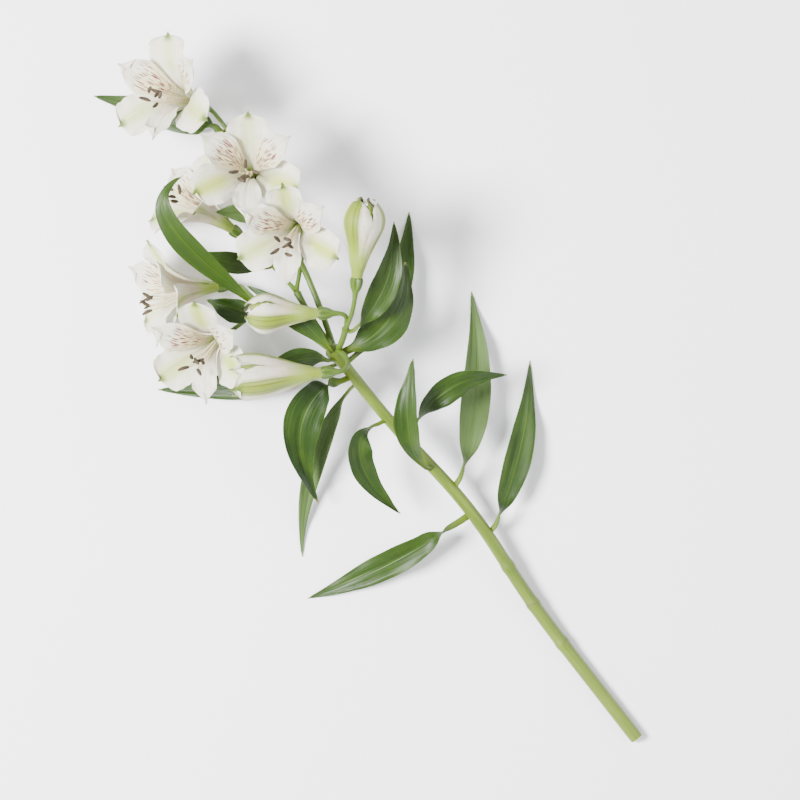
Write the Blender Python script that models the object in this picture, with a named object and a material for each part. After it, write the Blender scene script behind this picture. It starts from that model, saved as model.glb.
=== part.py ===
"""A cut alstroemeria stem laid on its side: stalk, umbel, flowers, buds and twisted leaves.

Sizes below are in millimetres and angles in degrees, and the meshes are made in metres.
+Y runs along the stalk to the flowers and +Z is up. The origin is on the small flat under the cut end.
Places in the head are measured from the whorl, where the rays of the umbel leave the stalk."""

import math
from dataclasses import dataclass

import bpy
import numpy as np

MM = 0.001
UP = np.array((0.0, 0.0, 1.0))
GAP = 0.3

# Stalk
STALK_SIDES = 8
STALK_RADIUS = 3.7
NECK_RADIUS = 3.1
CUT_END = -15.0
FLAT_END = 30.0
WHORL = np.array((0.0, 256.0, 42.0))
FLAT_HEIGHT = STALK_RADIUS * math.cos(math.pi / STALK_SIDES)
SCAR_PLACES = (52.0, 79.0, 104.0)
SCAR_SWELL, SCAR_SPREAD = 0.45, 2.2
WHORL_SWELL, WHORL_SPREAD = 1.5, 5.5
STALK_RISE = 1.7
STALK_SWAY = 5.0
STALK_STEPS = (-120.0, -90.0, -60.0, -32.0, -9.0, -1.0, 4.0)

# Umbel
RAY_RADIUS = 1.65
FORK_SWELL = 0.5
PEDICEL_RADIUS = 1.2
RAY_SIDES = 6
OVARY_LENGTH = 9.0
OVARY_STATIONS = (-0.68, -0.25, 0.0)
OVARY_RADII = (2.45, 3.15, 2.75)

# Flowers
TEPAL_THICKNESS = 0.7
CLAW_THICKNESS = 0.8
CLAW_HEIGHT = 1.4
TEPAL_COLUMNS = 4
TEPAL_POINT = 0.03
TEPAL_WAVE = 1.3
TEPAL_TURN = 4.0
CLAW_TO_BLADE = (0.12, 0.55)
OVERLAP = 0.5
WRAPPED_WAVE = 0.35
OUTER_ROOT = 2.9
INNER_ROOT = 1.95
LEAN_STATIONS = (0.0, 0.3, 0.6, 0.8, 1.0)
WIDTH_STATIONS = (0.0, 0.2, 0.4, 0.6, 0.76, 0.9, 1.0)
OUTER_WIDTHS = (0.25, 0.32, 0.54, 0.86, 1.0, 0.86, 0.36)
INNER_WIDTHS = (0.17, 0.24, 0.42, 0.76, 1.0, 0.8, 0.2)
OPENING_WIDTHS = (0.29, 0.48, 0.75, 0.98, 1.0, 0.84, 0.3)
FOLDED_WIDTHS = (0.29, 0.48, 0.75, 0.98, 1.0, 0.74, 0.25)
HUB_RADII = (2.9, 3.4)
HUB_HEIGHT = 3.2
HUB_SIDES = 6
CORE_STATIONS = (0.03, 0.3, 0.5, 0.7, 0.86, 0.95)
CORE_GAP = 1.1
CORE_SIDES = 9
FOOT_RADIUS = 1.2
FOOT_TOP = 5.4
STAMEN_SIDES = 4
FILAMENT_START = 4.4
FILAMENT_RADIUS = 0.37
FILAMENT_RING = 0.75
FILAMENT_LENGTHS = {"open": 39.0, "opening": 31.0}
FILAMENT_SAGS = {"open": 8.5, "opening": 2.5}
FILAMENT_SPREADS = {"open": 3.4, "opening": 1.8}
ANTHER_LENGTH = 6.0
ANTHER_RADIUS = 1.1

# Leaves
LEAF_THICKNESS = 0.7
PETIOLE_THICKNESS = 1.6
LEAF_STATIONS = (0.0, 0.1, 0.28, 0.5, 0.7, 0.86, 1.0)
LEAF_WIDTHS = (0.22, 0.22, 0.66, 1.0, 0.82, 0.4, 0.05)
LEAF_WAVE = 0.09
LEAF_TURN = (0.02, 0.34)
LEAF_FOLD = (0.15, 0.4)
LEAST_TWIST, MOST_TWIST = math.radians(80), math.radians(280)
BROAD_LEAF = 13.5

# Plain colours of the solids
STALK_GREEN = (0.30, 0.42, 0.10)
PETAL_WHITE = (0.86, 0.87, 0.78)
BUD_GREEN = (0.66, 0.76, 0.34)
STAMEN_BROWN = (0.55, 0.52, 0.36)
LEAF_GREEN = (0.09, 0.22, 0.06)


def unit(vector):
    return np.asarray(vector, float) / np.linalg.norm(vector)


def smooth(start, end, x):
    share = np.clip((x - start) / (end - start), 0.0, 1.0)
    return share * share * (3.0 - 2.0 * share)


def through(stations, values, x):
    """A smooth curve through the values at the stations."""
    stations = np.asarray(stations, float)
    values = np.asarray(values, float)
    slopes = np.gradient(values, stations)
    i = int(np.clip(np.searchsorted(stations, x) - 1, 0, len(stations) - 2))
    step = stations[i + 1] - stations[i]
    u = (x - stations[i]) / step
    rise = values[i + 1] - values[i]
    bow = slopes[i] * step * u * (1 - u) ** 2 - slopes[i + 1] * step * u * u * (1 - u)
    return values[i] + rise * u * u * (3 - 2 * u) + bow


def bezier(ends, s):
    a, b, c, d = (np.asarray(p, float) for p in ends)
    r = 1.0 - s
    return a * r**3 + 3 * b * r * r * s + 3 * c * r * s * s + d * s**3


def lie_on_table(point, floor):
    """Bend a point that would be under the table smoothly up to the floor height."""
    softness = 0.8
    height = (point[2] - floor) / softness
    lifted = height if height > 30 else math.log1p(math.exp(height))
    return np.array((point[0], point[1], floor + softness * lifted))


def transport_frames(points):
    """Tangent, side and top vectors along a path, with no twist of their own."""
    points = np.asarray(points, float)
    tangents = np.gradient(points, axis=0)
    tangents /= np.linalg.norm(tangents, axis=1)[:, None]
    hint = UP if abs(tangents[0][2]) < 0.9 else np.array((0.0, 1.0, 0.0))
    side = unit(np.cross(tangents[0], hint))
    frames = []
    for tangent in tangents:
        side = unit(side - tangent * np.dot(side, tangent))
        frames.append((tangent, side, np.cross(side, tangent)))
    return frames


# Plain solids, each given as points in millimetres and triangles

def tube(points, radii, sides):
    """A closed tube along a path."""
    verts = []
    for centre, radius, (_, side, top) in zip(points, radii, transport_frames(points)):
        for k in range(sides):
            angle = 2 * math.pi * (k + 0.5) / sides
            verts.append(centre + radius * (math.cos(angle) * side + math.sin(angle) * top))
    rings = len(points)
    faces = []
    for i in range(rings - 1):
        for k in range(sides):
            a = i * sides + k
            b = i * sides + (k + 1) % sides
            faces.append((a, a + sides, b + sides))
            faces.append((a, b + sides, b))
    last = (rings - 1) * sides
    for k in range(1, sides - 1):
        faces.append((0, k, k + 1))
        faces.append((last, last + k + 1, last + k))
    return verts, faces


def blade(grid, thickness):
    """A closed sheet about a grid of points, split into triangles alike on both faces."""
    grid = np.asarray(grid, float)
    rows, columns, _ = grid.shape
    along = np.gradient(grid, axis=0)
    across = np.gradient(grid, axis=1)
    normal = np.cross(across, along)
    normal /= np.linalg.norm(normal, axis=2)[:, :, None]
    half = np.asarray(thickness, float)[:, None, None] / 2
    verts = list((grid + normal * half).reshape(-1, 3)) + list((grid - normal * half).reshape(-1, 3))
    below = rows * columns
    faces = []
    for i in range(rows - 1):
        for j in range(columns - 1):
            a = i * columns + j
            b, c, d = a + 1, a + columns + 1, a + columns
            faces += [(a, b, c), (a, c, d)]
            faces += [(below + a, below + c, below + b), (below + a, below + d, below + c)]
    rim = list(range(columns))
    rim += [i * columns + columns - 1 for i in range(1, rows)]
    rim += [(rows - 1) * columns + j for j in range(columns - 2, -1, -1)]
    rim += [i * columns for i in range(rows - 2, 0, -1)]
    for here, there in zip(rim, rim[1:] + rim[:1]):
        faces += [(here, below + here, below + there), (here, below + there, there)]
    return verts, faces


def add_object(name, solid):
    verts, faces = solid
    mesh = bpy.data.meshes.new(name)
    mesh.from_pydata([tuple(np.asarray(v) * MM) for v in verts], [], faces)
    item = bpy.data.objects.new(name, mesh)
    bpy.context.scene.collection.objects.link(item)
    return item


def fuse(name, solids):
    """Join overlapping solids into one closed body."""
    base = add_object(name, solids[0])
    if len(solids) == 1:
        return base
    group = bpy.data.collections.new(name + "_pieces")
    bpy.context.scene.collection.children.link(group)
    for i, solid in enumerate(solids[1:]):
        piece = add_object(f"{name}_piece_{i}", solid)
        bpy.context.scene.collection.objects.unlink(piece)
        group.objects.link(piece)
    union = base.modifiers.new("union", "BOOLEAN")
    union.operation = "UNION"
    union.operand_type = "COLLECTION"
    union.collection = group
    union.solver = "MANIFOLD"
    graph = bpy.context.evaluated_depsgraph_get()
    joined = bpy.data.meshes.new_from_object(base.evaluated_get(graph))
    base.modifiers.clear()
    base.data = joined
    for piece in list(group.objects):
        bpy.data.objects.remove(piece)
    bpy.data.collections.remove(group)
    return base


def finish(item, colour, roughness):
    material = bpy.data.materials.new(item.name)
    material.use_nodes = True
    shader = material.node_tree.nodes["Principled BSDF"]
    shader.inputs["Base Color"].default_value = (*colour, 1.0)
    shader.inputs["Roughness"].default_value = roughness
    shader.inputs["Metallic"].default_value = 0.0
    item.data.materials.clear()
    item.data.materials.append(material)
    item.data.shade_smooth()


# Stalk and umbel

def stalk_point(y):
    """The stalk's centre: level near the cut end, then rising to the whorl."""
    rise = (WHORL[2] - FLAT_HEIGHT) * max(0.0, (y - FLAT_END) / (WHORL[1] - FLAT_END)) ** STALK_RISE
    sway = STALK_SWAY * math.sin(math.pi * smooth(FLAT_END, WHORL[1], y)) ** 2
    return np.array((sway, y, FLAT_HEIGHT + rise))


def stalk_radius(y):
    radius = STALK_RADIUS + (NECK_RADIUS - STALK_RADIUS) * smooth(FLAT_END, WHORL[1], y)
    for place in SCAR_PLACES:
        radius += SCAR_SWELL * math.exp(-(((y - place) / SCAR_SPREAD) ** 2))
    return radius + WHORL_SWELL * math.exp(-(((y - WHORL[1]) / WHORL_SPREAD) ** 2))


def stalk_solid():
    stations = [CUT_END, FLAT_END * 0.5, FLAT_END]
    for place in SCAR_PLACES:
        stations += [place - 4.0, place, place + 4.0]
    stations += [WHORL[1] + step for step in STALK_STEPS]
    points = [stalk_point(y) for y in stations]
    radii = [stalk_radius(y) for y in stations]
    radii[-1] = NECK_RADIUS * 0.8
    return tube(points, radii, STALK_SIDES)


@dataclass(frozen=True)
class Flower:
    name: str
    base: tuple
    axis: tuple
    dorsal: tuple
    form: str
    fork: str
    bow: tuple
    size: float = 1.0
    seed: int = 0


# Where the rays of the umbel fork, and a point that the ray bends through on its way there
FORKS = {
    "left": ((-15, 42, 30), (-6, 20, 40)),
    "middle": ((4, 38, 37), (1, 18, 41)),
    "far": ((22, 82, 22), (14, 36, 40)),
    "right": ((13, 5, 58), (6, 0, 50)),
    "whorl": ((0, 0, 42), None),
}
ABOVE = (0.616, 0.788, 0.0)
FLOWERS = (
    Flower("flower_1", (-29, 68, 13), (-0.78, 0.48, 0.40), ABOVE, "open", "left", (-20, 56, 15), 1.0, 1),
    Flower("flower_2", (-42, 44, 22), (-0.43, 0.00, 0.90), ABOVE, "open", "left", (-30, 44, 14), 0.97, 2),
    Flower("flower_3", (-12, -6, 75), (-0.80, 0.55, 0.16), ABOVE, "opening", "whorl", (10, -8, 66), 1.0, 3),
    Flower("bud_1", (6, 20, 66), (-0.79, 0.61, 0.10), ABOVE, "bud", "right", (17, 10, 63), 0.92, 4),
    Flower("bud_2", (34, 22, 74), (0.68, 0.70, 0.20), ABOVE, "bud", "right", (20, 8, 68), 1.0, 5),
    Flower("flower_4", (28, 64, 46), (-0.28, -0.04, 0.96), ABOVE, "open", "middle", (20, 52, 32), 0.95, 6),
    Flower("flower_5", (24, 102, 30), (0.0, 0.10, 0.99), ABOVE, "open", "far", (24, 94, 17), 1.0, 7),
    Flower("flower_6", (-3, 88, 16), (-0.24, 0.88, 0.42), ABOVE, "open", "middle", (2, 60, 22), 0.97, 8),
    Flower("flower_7", (25, 151, 26), (-0.30, 0.42, 0.86), ABOVE, "open", "far", (30, 120, 14), 1.03, 9),
)


def from_whorl(place):
    return np.array((WHORL[0] + place[0], WHORL[1] + place[1], place[2]), float)


def ovary_start(flower):
    return from_whorl(flower.base) - unit(flower.axis) * OVARY_LENGTH


def ray_path(fork, s):
    """Centre and radius of a ray at a share of its way from the whorl to its fork."""
    place, bend = FORKS[fork]
    start = stalk_point(WHORL[1] - 2.0)
    end = from_whorl(place)
    bow = from_whorl(bend)
    point = bezier((start, start + (bow - start) * 0.9, bow + (end - bow) * 0.3, end), s)
    return point, RAY_RADIUS + FORK_SWELL * smooth(0.8, 1.0, s)


def pedicel_path(flower, s):
    """Centre and radius of a flower's own stalk at a share of its way from the fork to the ovary."""
    start = from_whorl(FORKS[flower.fork][0])
    end = ovary_start(flower)
    bow = from_whorl(flower.bow)
    axis = unit(flower.axis)
    return bezier((start, start + (bow - start) * 0.75, end - axis * 8.0, end), s), PEDICEL_RADIUS


def ray_solid(fork):
    stops = [ray_path(fork, s) for s in np.linspace(0, 1, 7)]
    return tube([point for point, _ in stops], [radius for _, radius in stops], RAY_SIDES)


def pedicel_solid(flower):
    """A flower's own stalk, swelling into the ovary, whose six sides are its six ribs."""
    points = [pedicel_path(flower, s)[0] for s in np.linspace(0, 1, 7)]
    radii = [PEDICEL_RADIUS] * len(points)
    axis = unit(flower.axis)
    points += [from_whorl(flower.base) + axis * OVARY_LENGTH * s for s in OVARY_STATIONS]
    return tube(points, radii + list(OVARY_RADII), RAY_SIDES)


def build_stem():
    solids = [stalk_solid()]
    solids += [ray_solid(fork) for fork, (_, bend) in FORKS.items() if bend]
    solids += [pedicel_solid(flower) for flower in FLOWERS]
    finish(fuse("stem", solids), STALK_GREEN, 0.45)


# Flowers

@dataclass(frozen=True)
class Tepal:
    azimuth: float
    length: float
    width: float
    root: float
    lean: tuple
    widths: tuple
    cup: float
    tip: float
    rows: int = 6


OPEN_TEPALS = (
    Tepal(0, 46, 23, OUTER_ROOT, (9, 17, 44, 62, 68), OUTER_WIDTHS, 0.035, -0.05),
    Tepal(120, 47, 24, OUTER_ROOT, (9, 20, 51, 72, 82), OUTER_WIDTHS, 0.03, -0.05),
    Tepal(240, 47, 24, OUTER_ROOT, (9, 20, 51, 72, 82), OUTER_WIDTHS, 0.03, -0.05),
    Tepal(60, 49, 18.5, INNER_ROOT, (7, 13, 38, 54, 62), INNER_WIDTHS, 0.035, -0.09, 5),
    Tepal(300, 49, 18.5, INNER_ROOT, (7, 13, 38, 54, 62), INNER_WIDTHS, 0.035, -0.09, 5),
    Tepal(180, 48, 16, INNER_ROOT, (8, 15, 41, 60, 66), INNER_WIDTHS, 0.05, -0.09, 5),
)
OPENING_TEPALS = tuple(
    Tepal(azimuth, 46, 23.5, OUTER_ROOT, (8, 17, 17, 2, -10), OPENING_WIDTHS, 0.085, -0.05)
    for azimuth in (0, 120, 240)
) + tuple(
    Tepal(azimuth, 45, 14, INNER_ROOT, (7, 14, 15, 4, -4), INNER_WIDTHS, 0.1, -0.09, 5)
    for azimuth in (60, 180, 300)
)
BUD_TEPALS = tuple(
    Tepal(azimuth, 43, 23.5, OUTER_ROOT, (8, 17, 18, -20, -52), FOLDED_WIDTHS, 0.0, -0.03)
    for azimuth in (0, 120, 240)
)


def flower_axes(flower):
    """Side, dorsal and mouth directions of a flower."""
    axis = unit(flower.axis)
    side = unit(np.cross(flower.dorsal, axis))
    return side, np.cross(axis, side), axis


def midline(tepal):
    """Distance from the flower's axis and height above the ovary, in fine steps along a tepal."""
    steps = np.linspace(0, 1, 81)
    lean = np.radians([through(LEAN_STATIONS, tepal.lean, s) for s in steps])
    middle = (lean[1:] + lean[:-1]) / 2
    run = tepal.length * (steps[1] - steps[0])
    reach = tepal.root + np.concatenate(([0], np.cumsum(np.sin(middle) * run)))
    height = CLAW_HEIGHT + np.concatenate(([0], np.cumsum(np.cos(middle) * run)))
    return steps, reach, height, lean


def tepal_grid(flower, tepal, rows, columns):
    """Points on a tepal: a narrow channelled claw that widens into a cupped blade with a waved edge."""
    side, dorsal, axis = flower_axes(flower)
    steps, reach, height, lean = midline(tepal)
    shift = math.sin(flower.seed * 7.3 + tepal.azimuth * 0.61)
    turn = math.radians(tepal.azimuth + TEPAL_TURN * shift)
    outward = math.sin(turn) * side + math.cos(turn) * dorsal
    sideways = math.cos(turn) * side - math.sin(turn) * dorsal
    base = from_whorl(flower.base)
    wrapped = flower.form != "open" and tepal.root == OUTER_ROOT
    grid = []
    for i in range(rows + 1):
        line = []
        for j in range(columns + 1):
            t = 2.0 * j / columns - 1.0
            share = i / rows
            drawn_out = tepal.tip * t * t + TEPAL_POINT * math.exp(-((t / 0.2) ** 2))
            s = share * (1.0 + drawn_out * share**4)
            r = np.interp(s, steps, reach)
            h = np.interp(s, steps, height)
            tilt = np.interp(s, steps, lean)
            x = t * tepal.width / 2 * through(WIDTH_STATIONS, tepal.widths, min(share, 1.0))
            open_share = smooth(*CLAW_TO_BLADE, s)
            bend = 1 / (r + 1.0)
            if tepal.cup:
                bend += open_share * (tepal.cup - bend)
            inward = -math.cos(tilt) * outward + math.sin(tilt) * axis
            wave = TEPAL_WAVE * smooth(0.45, 0.85, s) * t * t * math.sin(9.0 * s + 2.5 * shift + 1.2 * t)
            if wrapped:
                wave = WRAPPED_WAVE * wave - OVERLAP * t * smooth(0.03, 0.2, s)
            point = r * outward + h * axis
            point = point + sideways * math.sin(bend * x) / bend
            point = point + inward * ((1 - math.cos(bend * x)) / bend + wave)
            line.append(lie_on_table(base + flower.size * point, TEPAL_THICKNESS / 2))
        grid.append(line)
    return grid


def tepal_solid(flower, tepal):
    share = np.linspace(0, 1, tepal.rows + 1)
    thickness = CLAW_THICKNESS + (TEPAL_THICKNESS - CLAW_THICKNESS) * smooth(0.1, 0.5, share)
    return blade(tepal_grid(flower, tepal, tepal.rows, TEPAL_COLUMNS), thickness)


def hub_solid(flower):
    base, axis = from_whorl(flower.base), unit(flower.axis)
    return tube([base + axis * h for h in (GAP, HUB_HEIGHT)], HUB_RADII, HUB_SIDES)


def bud_core_solid(flower):
    """The inner tepals of a bud, folded together just inside the outer ones."""
    base, axis = from_whorl(flower.base), unit(flower.axis)
    steps, reach, height, _ = midline(BUD_TEPALS[0])
    heights, radii = [], []
    for s in CORE_STATIONS:
        heights.append(flower.size * np.interp(s, steps, height))
        radii.append(flower.size * (np.interp(s, steps, reach) - CORE_GAP))
    return tube([base + axis * h for h in heights], radii, CORE_SIDES)


def stamen_path(flower, k, stops):
    """Points on a filament from the foot, sagging to the lower side and turning up at its tip."""
    side, dorsal, axis = flower_axes(flower)
    base = from_whorl(flower.base)
    angle = 2 * math.pi * (k + 0.5) / 6
    sag = FILAMENT_SAGS[flower.form]
    length = flower.size * (FILAMENT_LENGTHS[flower.form] + 2.4 * math.sin(flower.seed * 3.1 + k * 2.3))
    spread = FILAMENT_SPREADS[flower.form] + 0.8 * math.sin(flower.seed + k * 1.9)
    points = []
    for s in stops:
        aside = math.cos(angle) * (FILAMENT_RING + spread * s * s)
        over = math.sin(angle) * (FILAMENT_RING + spread * 0.8 * s * s) - sag * (s**1.6 - 0.35 * s**5)
        ahead = FILAMENT_START + (length - FILAMENT_START) * s
        points.append(base + side * aside + dorsal * over + axis * ahead)
    return points


def anther_lie(flower, k):
    side, dorsal, axis = flower_axes(flower)
    turn = flower.seed * 1.7 + k * 2.1
    return unit(math.cos(turn) * side + math.sin(turn) * 0.6 * dorsal + 0.8 * axis)


def stamen_solid(flower, k):
    """A filament that swells at its end into a plump anther lying aslant."""
    points = stamen_path(flower, k, (0.0, 0.4, 0.75, 1.0))
    lie = anther_lie(flower, k) * ANTHER_LENGTH
    points += [points[-1] + lie * s for s in (0.15, 0.55, 1.0)]
    return tube(points, (FILAMENT_RADIUS,) * 4 + (0.8, ANTHER_RADIUS, 0.45), STAMEN_SIDES)


def stamens_solids(flower):
    base, axis = from_whorl(flower.base), unit(flower.axis)
    foot = [base + axis * h for h in (HUB_HEIGHT + GAP, FOOT_TOP)]
    return [tube(foot, (FOOT_RADIUS, FOOT_RADIUS), 6)] + [stamen_solid(flower, k) for k in range(6)]


def build_flower(flower):
    if flower.form == "bud":
        solids = [hub_solid(flower), bud_core_solid(flower)]
        solids += [tepal_solid(flower, tepal) for tepal in BUD_TEPALS]
        finish(fuse(flower.name, solids), BUD_GREEN, 0.5)
        return
    tepals = OPEN_TEPALS if flower.form == "open" else OPENING_TEPALS
    solids = [hub_solid(flower)] + [tepal_solid(flower, tepal) for tepal in tepals]
    finish(fuse(flower.name + "_tepals", solids), PETAL_WHITE, 0.55)
    finish(fuse(flower.name + "_stamens", stamens_solids(flower)), STAMEN_BROWN, 0.6)


# Leaves

@dataclass(frozen=True)
class Leaf:
    """A leaf on the stalk, a ray or a flower's own stalk, that bends through two points to its tip."""
    name: str
    carrier: str
    place: float
    away: tuple
    bend: tuple
    sweep: tuple
    tip: tuple
    width: float
    face: float
    fold: float
    seed: int
    rows: int = 9


STEM_LEAVES = (
    Leaf("stem_leaf_1", "stalk", -130, (0.9, 0, -0.1),
         (22, -122, 20), (54, -106, 6), (82, -70, -2), 15, -8, 0.3, 1),
    Leaf("stem_leaf_2", "stalk", -116, (-0.9, 0, -0.1),
         (-26, -114, 24), (-60, -110, 8), (-96, -98, -2), 16, 12, 0.3, 2),
    Leaf("stem_leaf_3", "stalk", -98, (0.9, 0, 0.1),
         (26, -88, 30), (56, -62, 10), (80, -20, -2), 17, -12, 0.3, 3),
    Leaf("stem_leaf_4", "stalk", -82, (-0.3, 0, 0.95),
         (-6, -66, 46), (14, -46, 60), (31, -30, 54), 14, 20, 0.4, 4),
    Leaf("stem_leaf_5", "stalk", -60, (0.9, 0, 0.4),
         (24, -52, 44), (44, -50, 48), (66, -68, 32), 15, -24, 0.3, 5),
    Leaf("stem_leaf_6", "stalk", -46, (-0.9, 0, 0.4),
         (-20, -38, 44), (-34, -58, 38), (-26, -92, 24), 15, 24, 0.3, 20),
)
WHORL_LEAVES = (
    Leaf("whorl_leaf_1", "stalk", -16, (-1.0, 0, 0.1),
         (-16, -8, 46), (-50, -12, 38), (-58, -60, 12), 21, 14, 0.2, 6),
    Leaf("whorl_leaf_2", "stalk", -22, (-0.8, 0, -0.6),
         (-20, -24, 22), (-60, -44, 10), (-84, -78, -1), 11, 10, 0.3, 7),
    Leaf("whorl_leaf_3", "stalk", -7, (-0.9, 0, -0.4),
         (-20, 2, 30), (-54, 14, 12), (-90, 44, 0), 18, 8, 0.25, 8),
    Leaf("whorl_leaf_4", "stalk", -3, (-0.7, 0, 0.7),
         (-10, 6, 54), (-22, 10, 58), (-40, 14, 50), 13, 10, 0.3, 9),
    Leaf("whorl_leaf_5", "stalk", 1, (-0.2, 0, 0.98),
         (0, 14, 55), (-6, 34, 55), (-15, 56, 47), 12, 12, 0.3, 10),
    Leaf("whorl_leaf_6", "stalk", -4, (0.9, 0, 0.35),
         (18, -8, 44), (44, -10, 54), (60, 14, 34), 23, -18, 0.15, 11),
    Leaf("whorl_leaf_7", "stalk", -10, (0.9, 0, -0.4),
         (22, -10, 28), (54, 4, 11), (80, 36, -2), 17, -8, 0.3, 12),
)
BRACTS = (
    Leaf("bract_1", "left", 0.94, (-0.6, -0.3, 0.7),
         (-20, 62, 54), (-43, 127, 84), (-6, 121, 70), 13, 14, 0.25, 13),
    Leaf("bract_2", "flower_6", 0.4, (-0.8, 0, 0.6),
         (-8, 64, 36), (-18, 74, 42), (-28, 90, 38), 12, -14, 0.3, 14, 6),
    Leaf("bract_3", "flower_2", 0.12, (-0.1, -0.7, 0.7),
         (-22, 42, 38), (-30, 54, 44), (-37, 64, 35), 14, 24, 0.6, 15, 6),
    Leaf("bract_4", "flower_7", 0.5, (-0.8, 0.2, 0.4),
         (20, 119, 18), (15, 122, 18), (10, 118, 14), 5, 0, 0.3, 16, 4),
    Leaf("bract_5", "flower_7", 0.62, (-0.7, 0, -0.6),
         (22, 140, 7), (6, 166, 1), (-18, 194, -1), 17, 10, 0.25, 17),
    Leaf("bract_6", "right", 0.9, (0.9, -0.5, 0.2),
         (28, 2, 60), (50, 8, 58), (68, 34, 57), 15, -10, 0.3, 18),
    Leaf("bract_7", "far", 0.9, (-0.8, 0, 0.6),
         (14, 86, 32), (5, 92, 38), (-4, 98, 40), 11, 12, 0.3, 19, 6),
)
LEAVES = STEM_LEAVES + WHORL_LEAVES + BRACTS


def carrier_at(leaf, nudge=0.0):
    """Centre and radius of what carries a leaf, at its place."""
    if leaf.carrier == "stalk":
        y = WHORL[1] + leaf.place + 100 * nudge
        return stalk_point(y), stalk_radius(y)
    if leaf.carrier in FORKS:
        return ray_path(leaf.carrier, leaf.place + nudge)
    flower = next(flower for flower in FLOWERS if flower.name == leaf.carrier)
    return pedicel_path(flower, leaf.place + nudge)


def leaf_root(leaf):
    """Where a leaf leaves its carrier, and the direction straight out from it."""
    centre, radius = carrier_at(leaf)
    along = unit(carrier_at(leaf, 0.02)[0] - carrier_at(leaf, -0.02)[0])
    away = np.array(leaf.away, float)
    out = unit(away - along * np.dot(away, along))
    return centre + out * (radius + GAP + PETIOLE_THICKNESS / 2 + 0.15), out


def leaf_grid(leaf, rows, columns):
    """Points on a leaf: a stalk-like base turned half round, then a pleated blade with a drawn-out tip."""
    root, out = leaf_root(leaf)
    ends = (root, from_whorl(leaf.bend), from_whorl(leaf.sweep), from_whorl(leaf.tip))
    stops = [i / rows for i in range(rows + 1)]
    spine = [bezier(ends, s) for s in stops]
    tangents = []
    for s in stops:
        ahead = bezier(ends, min(1.0, s + 0.01)) - bezier(ends, max(0.0, s - 0.01))
        tangents.append(unit(ahead))
    first_side = unit(np.cross(tangents[0], UP))
    first_top = np.cross(first_side, tangents[0])
    start_roll = math.atan2(np.dot(out, -first_side), np.dot(out, first_top))
    end_roll = math.radians(leaf.face)
    twist = end_roll - start_roll
    while twist < LEAST_TWIST:
        twist += 2 * math.pi
    while twist > MOST_TWIST:
        twist -= 2 * math.pi
    grid = []
    for s, centre, tangent in zip(stops, spine, tangents):
        flat_side = unit(np.cross(tangent, UP))
        flat_top = np.cross(flat_side, tangent)
        roll = start_roll + twist * smooth(*LEAF_TURN, s)
        side = math.cos(roll) * flat_side + math.sin(roll) * flat_top
        top = math.cos(roll) * flat_top - math.sin(roll) * flat_side
        half = leaf.width / 2 * through(LEAF_STATIONS, LEAF_WIDTHS, s)
        line = []
        for j in range(columns + 1):
            t = 2.0 * j / columns - 1.0
            fold = leaf.fold * smooth(*LEAF_FOLD, s) * half * (math.sqrt(t * t + 0.04) - 0.2)
            wave = LEAF_WAVE * leaf.width * t * math.sin(8.0 * s + leaf.seed * 2.1 + t) * smooth(0.3, 0.6, s)
            point = centre + side * t * half + top * (fold + wave * (1 - smooth(0.85, 1.0, s)))
            line.append(lie_on_table(point, LEAF_THICKNESS / 2))
        grid.append(line)
    return grid


def build_leaf(leaf):
    stops = np.linspace(0, 1, leaf.rows + 1)
    thickness = PETIOLE_THICKNESS + (LEAF_THICKNESS - PETIOLE_THICKNESS) * smooth(0.1, 0.3, stops)
    columns = 4 if leaf.width > BROAD_LEAF else 2
    solid = blade(leaf_grid(leaf, leaf.rows, columns), thickness)
    finish(add_object(leaf.name, solid), LEAF_GREEN, 0.4)


def main():
    for item in list(bpy.data.objects):
        bpy.data.objects.remove(item)
    build_stem()
    for flower in FLOWERS:
        build_flower(flower)
    for leaf in LEAVES:
        build_leaf(leaf)


main()
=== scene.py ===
import math
from dataclasses import dataclass
from types import SimpleNamespace

import bpy
import numpy as np
from bpy.props import FloatProperty, FloatVectorProperty, IntProperty, PointerProperty
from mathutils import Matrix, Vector


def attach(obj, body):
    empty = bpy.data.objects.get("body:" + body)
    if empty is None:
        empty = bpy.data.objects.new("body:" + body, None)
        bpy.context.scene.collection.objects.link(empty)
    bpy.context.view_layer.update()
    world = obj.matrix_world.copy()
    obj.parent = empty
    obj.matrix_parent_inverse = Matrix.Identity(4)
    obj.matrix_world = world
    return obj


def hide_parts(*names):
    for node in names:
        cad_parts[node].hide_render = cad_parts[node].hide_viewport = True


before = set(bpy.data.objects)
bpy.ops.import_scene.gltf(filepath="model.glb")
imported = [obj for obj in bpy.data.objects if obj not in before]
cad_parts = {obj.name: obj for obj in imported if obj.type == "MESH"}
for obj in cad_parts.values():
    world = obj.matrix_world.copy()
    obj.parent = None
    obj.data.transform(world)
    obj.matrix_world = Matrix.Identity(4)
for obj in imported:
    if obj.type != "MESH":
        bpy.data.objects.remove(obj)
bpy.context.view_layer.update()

bl_info = {
    "name": "Alstroemeria stem",
    "version": (1, 0, 0),
    "blender": (4, 5, 0),
    "location": "View3D > Sidebar > Alstroemeria",
    "description": "Finishes a cut alstroemeria stem: petals, stamens, buds, leaves and stalk",
    "category": "Object",
}

# Lengths in the shape functions are millimetres, and MM turns them into metres when a mesh is filled
MM = 0.001
UP = np.array((0.0, 0.0, 1.0))
TURN = 2 * math.pi

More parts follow.
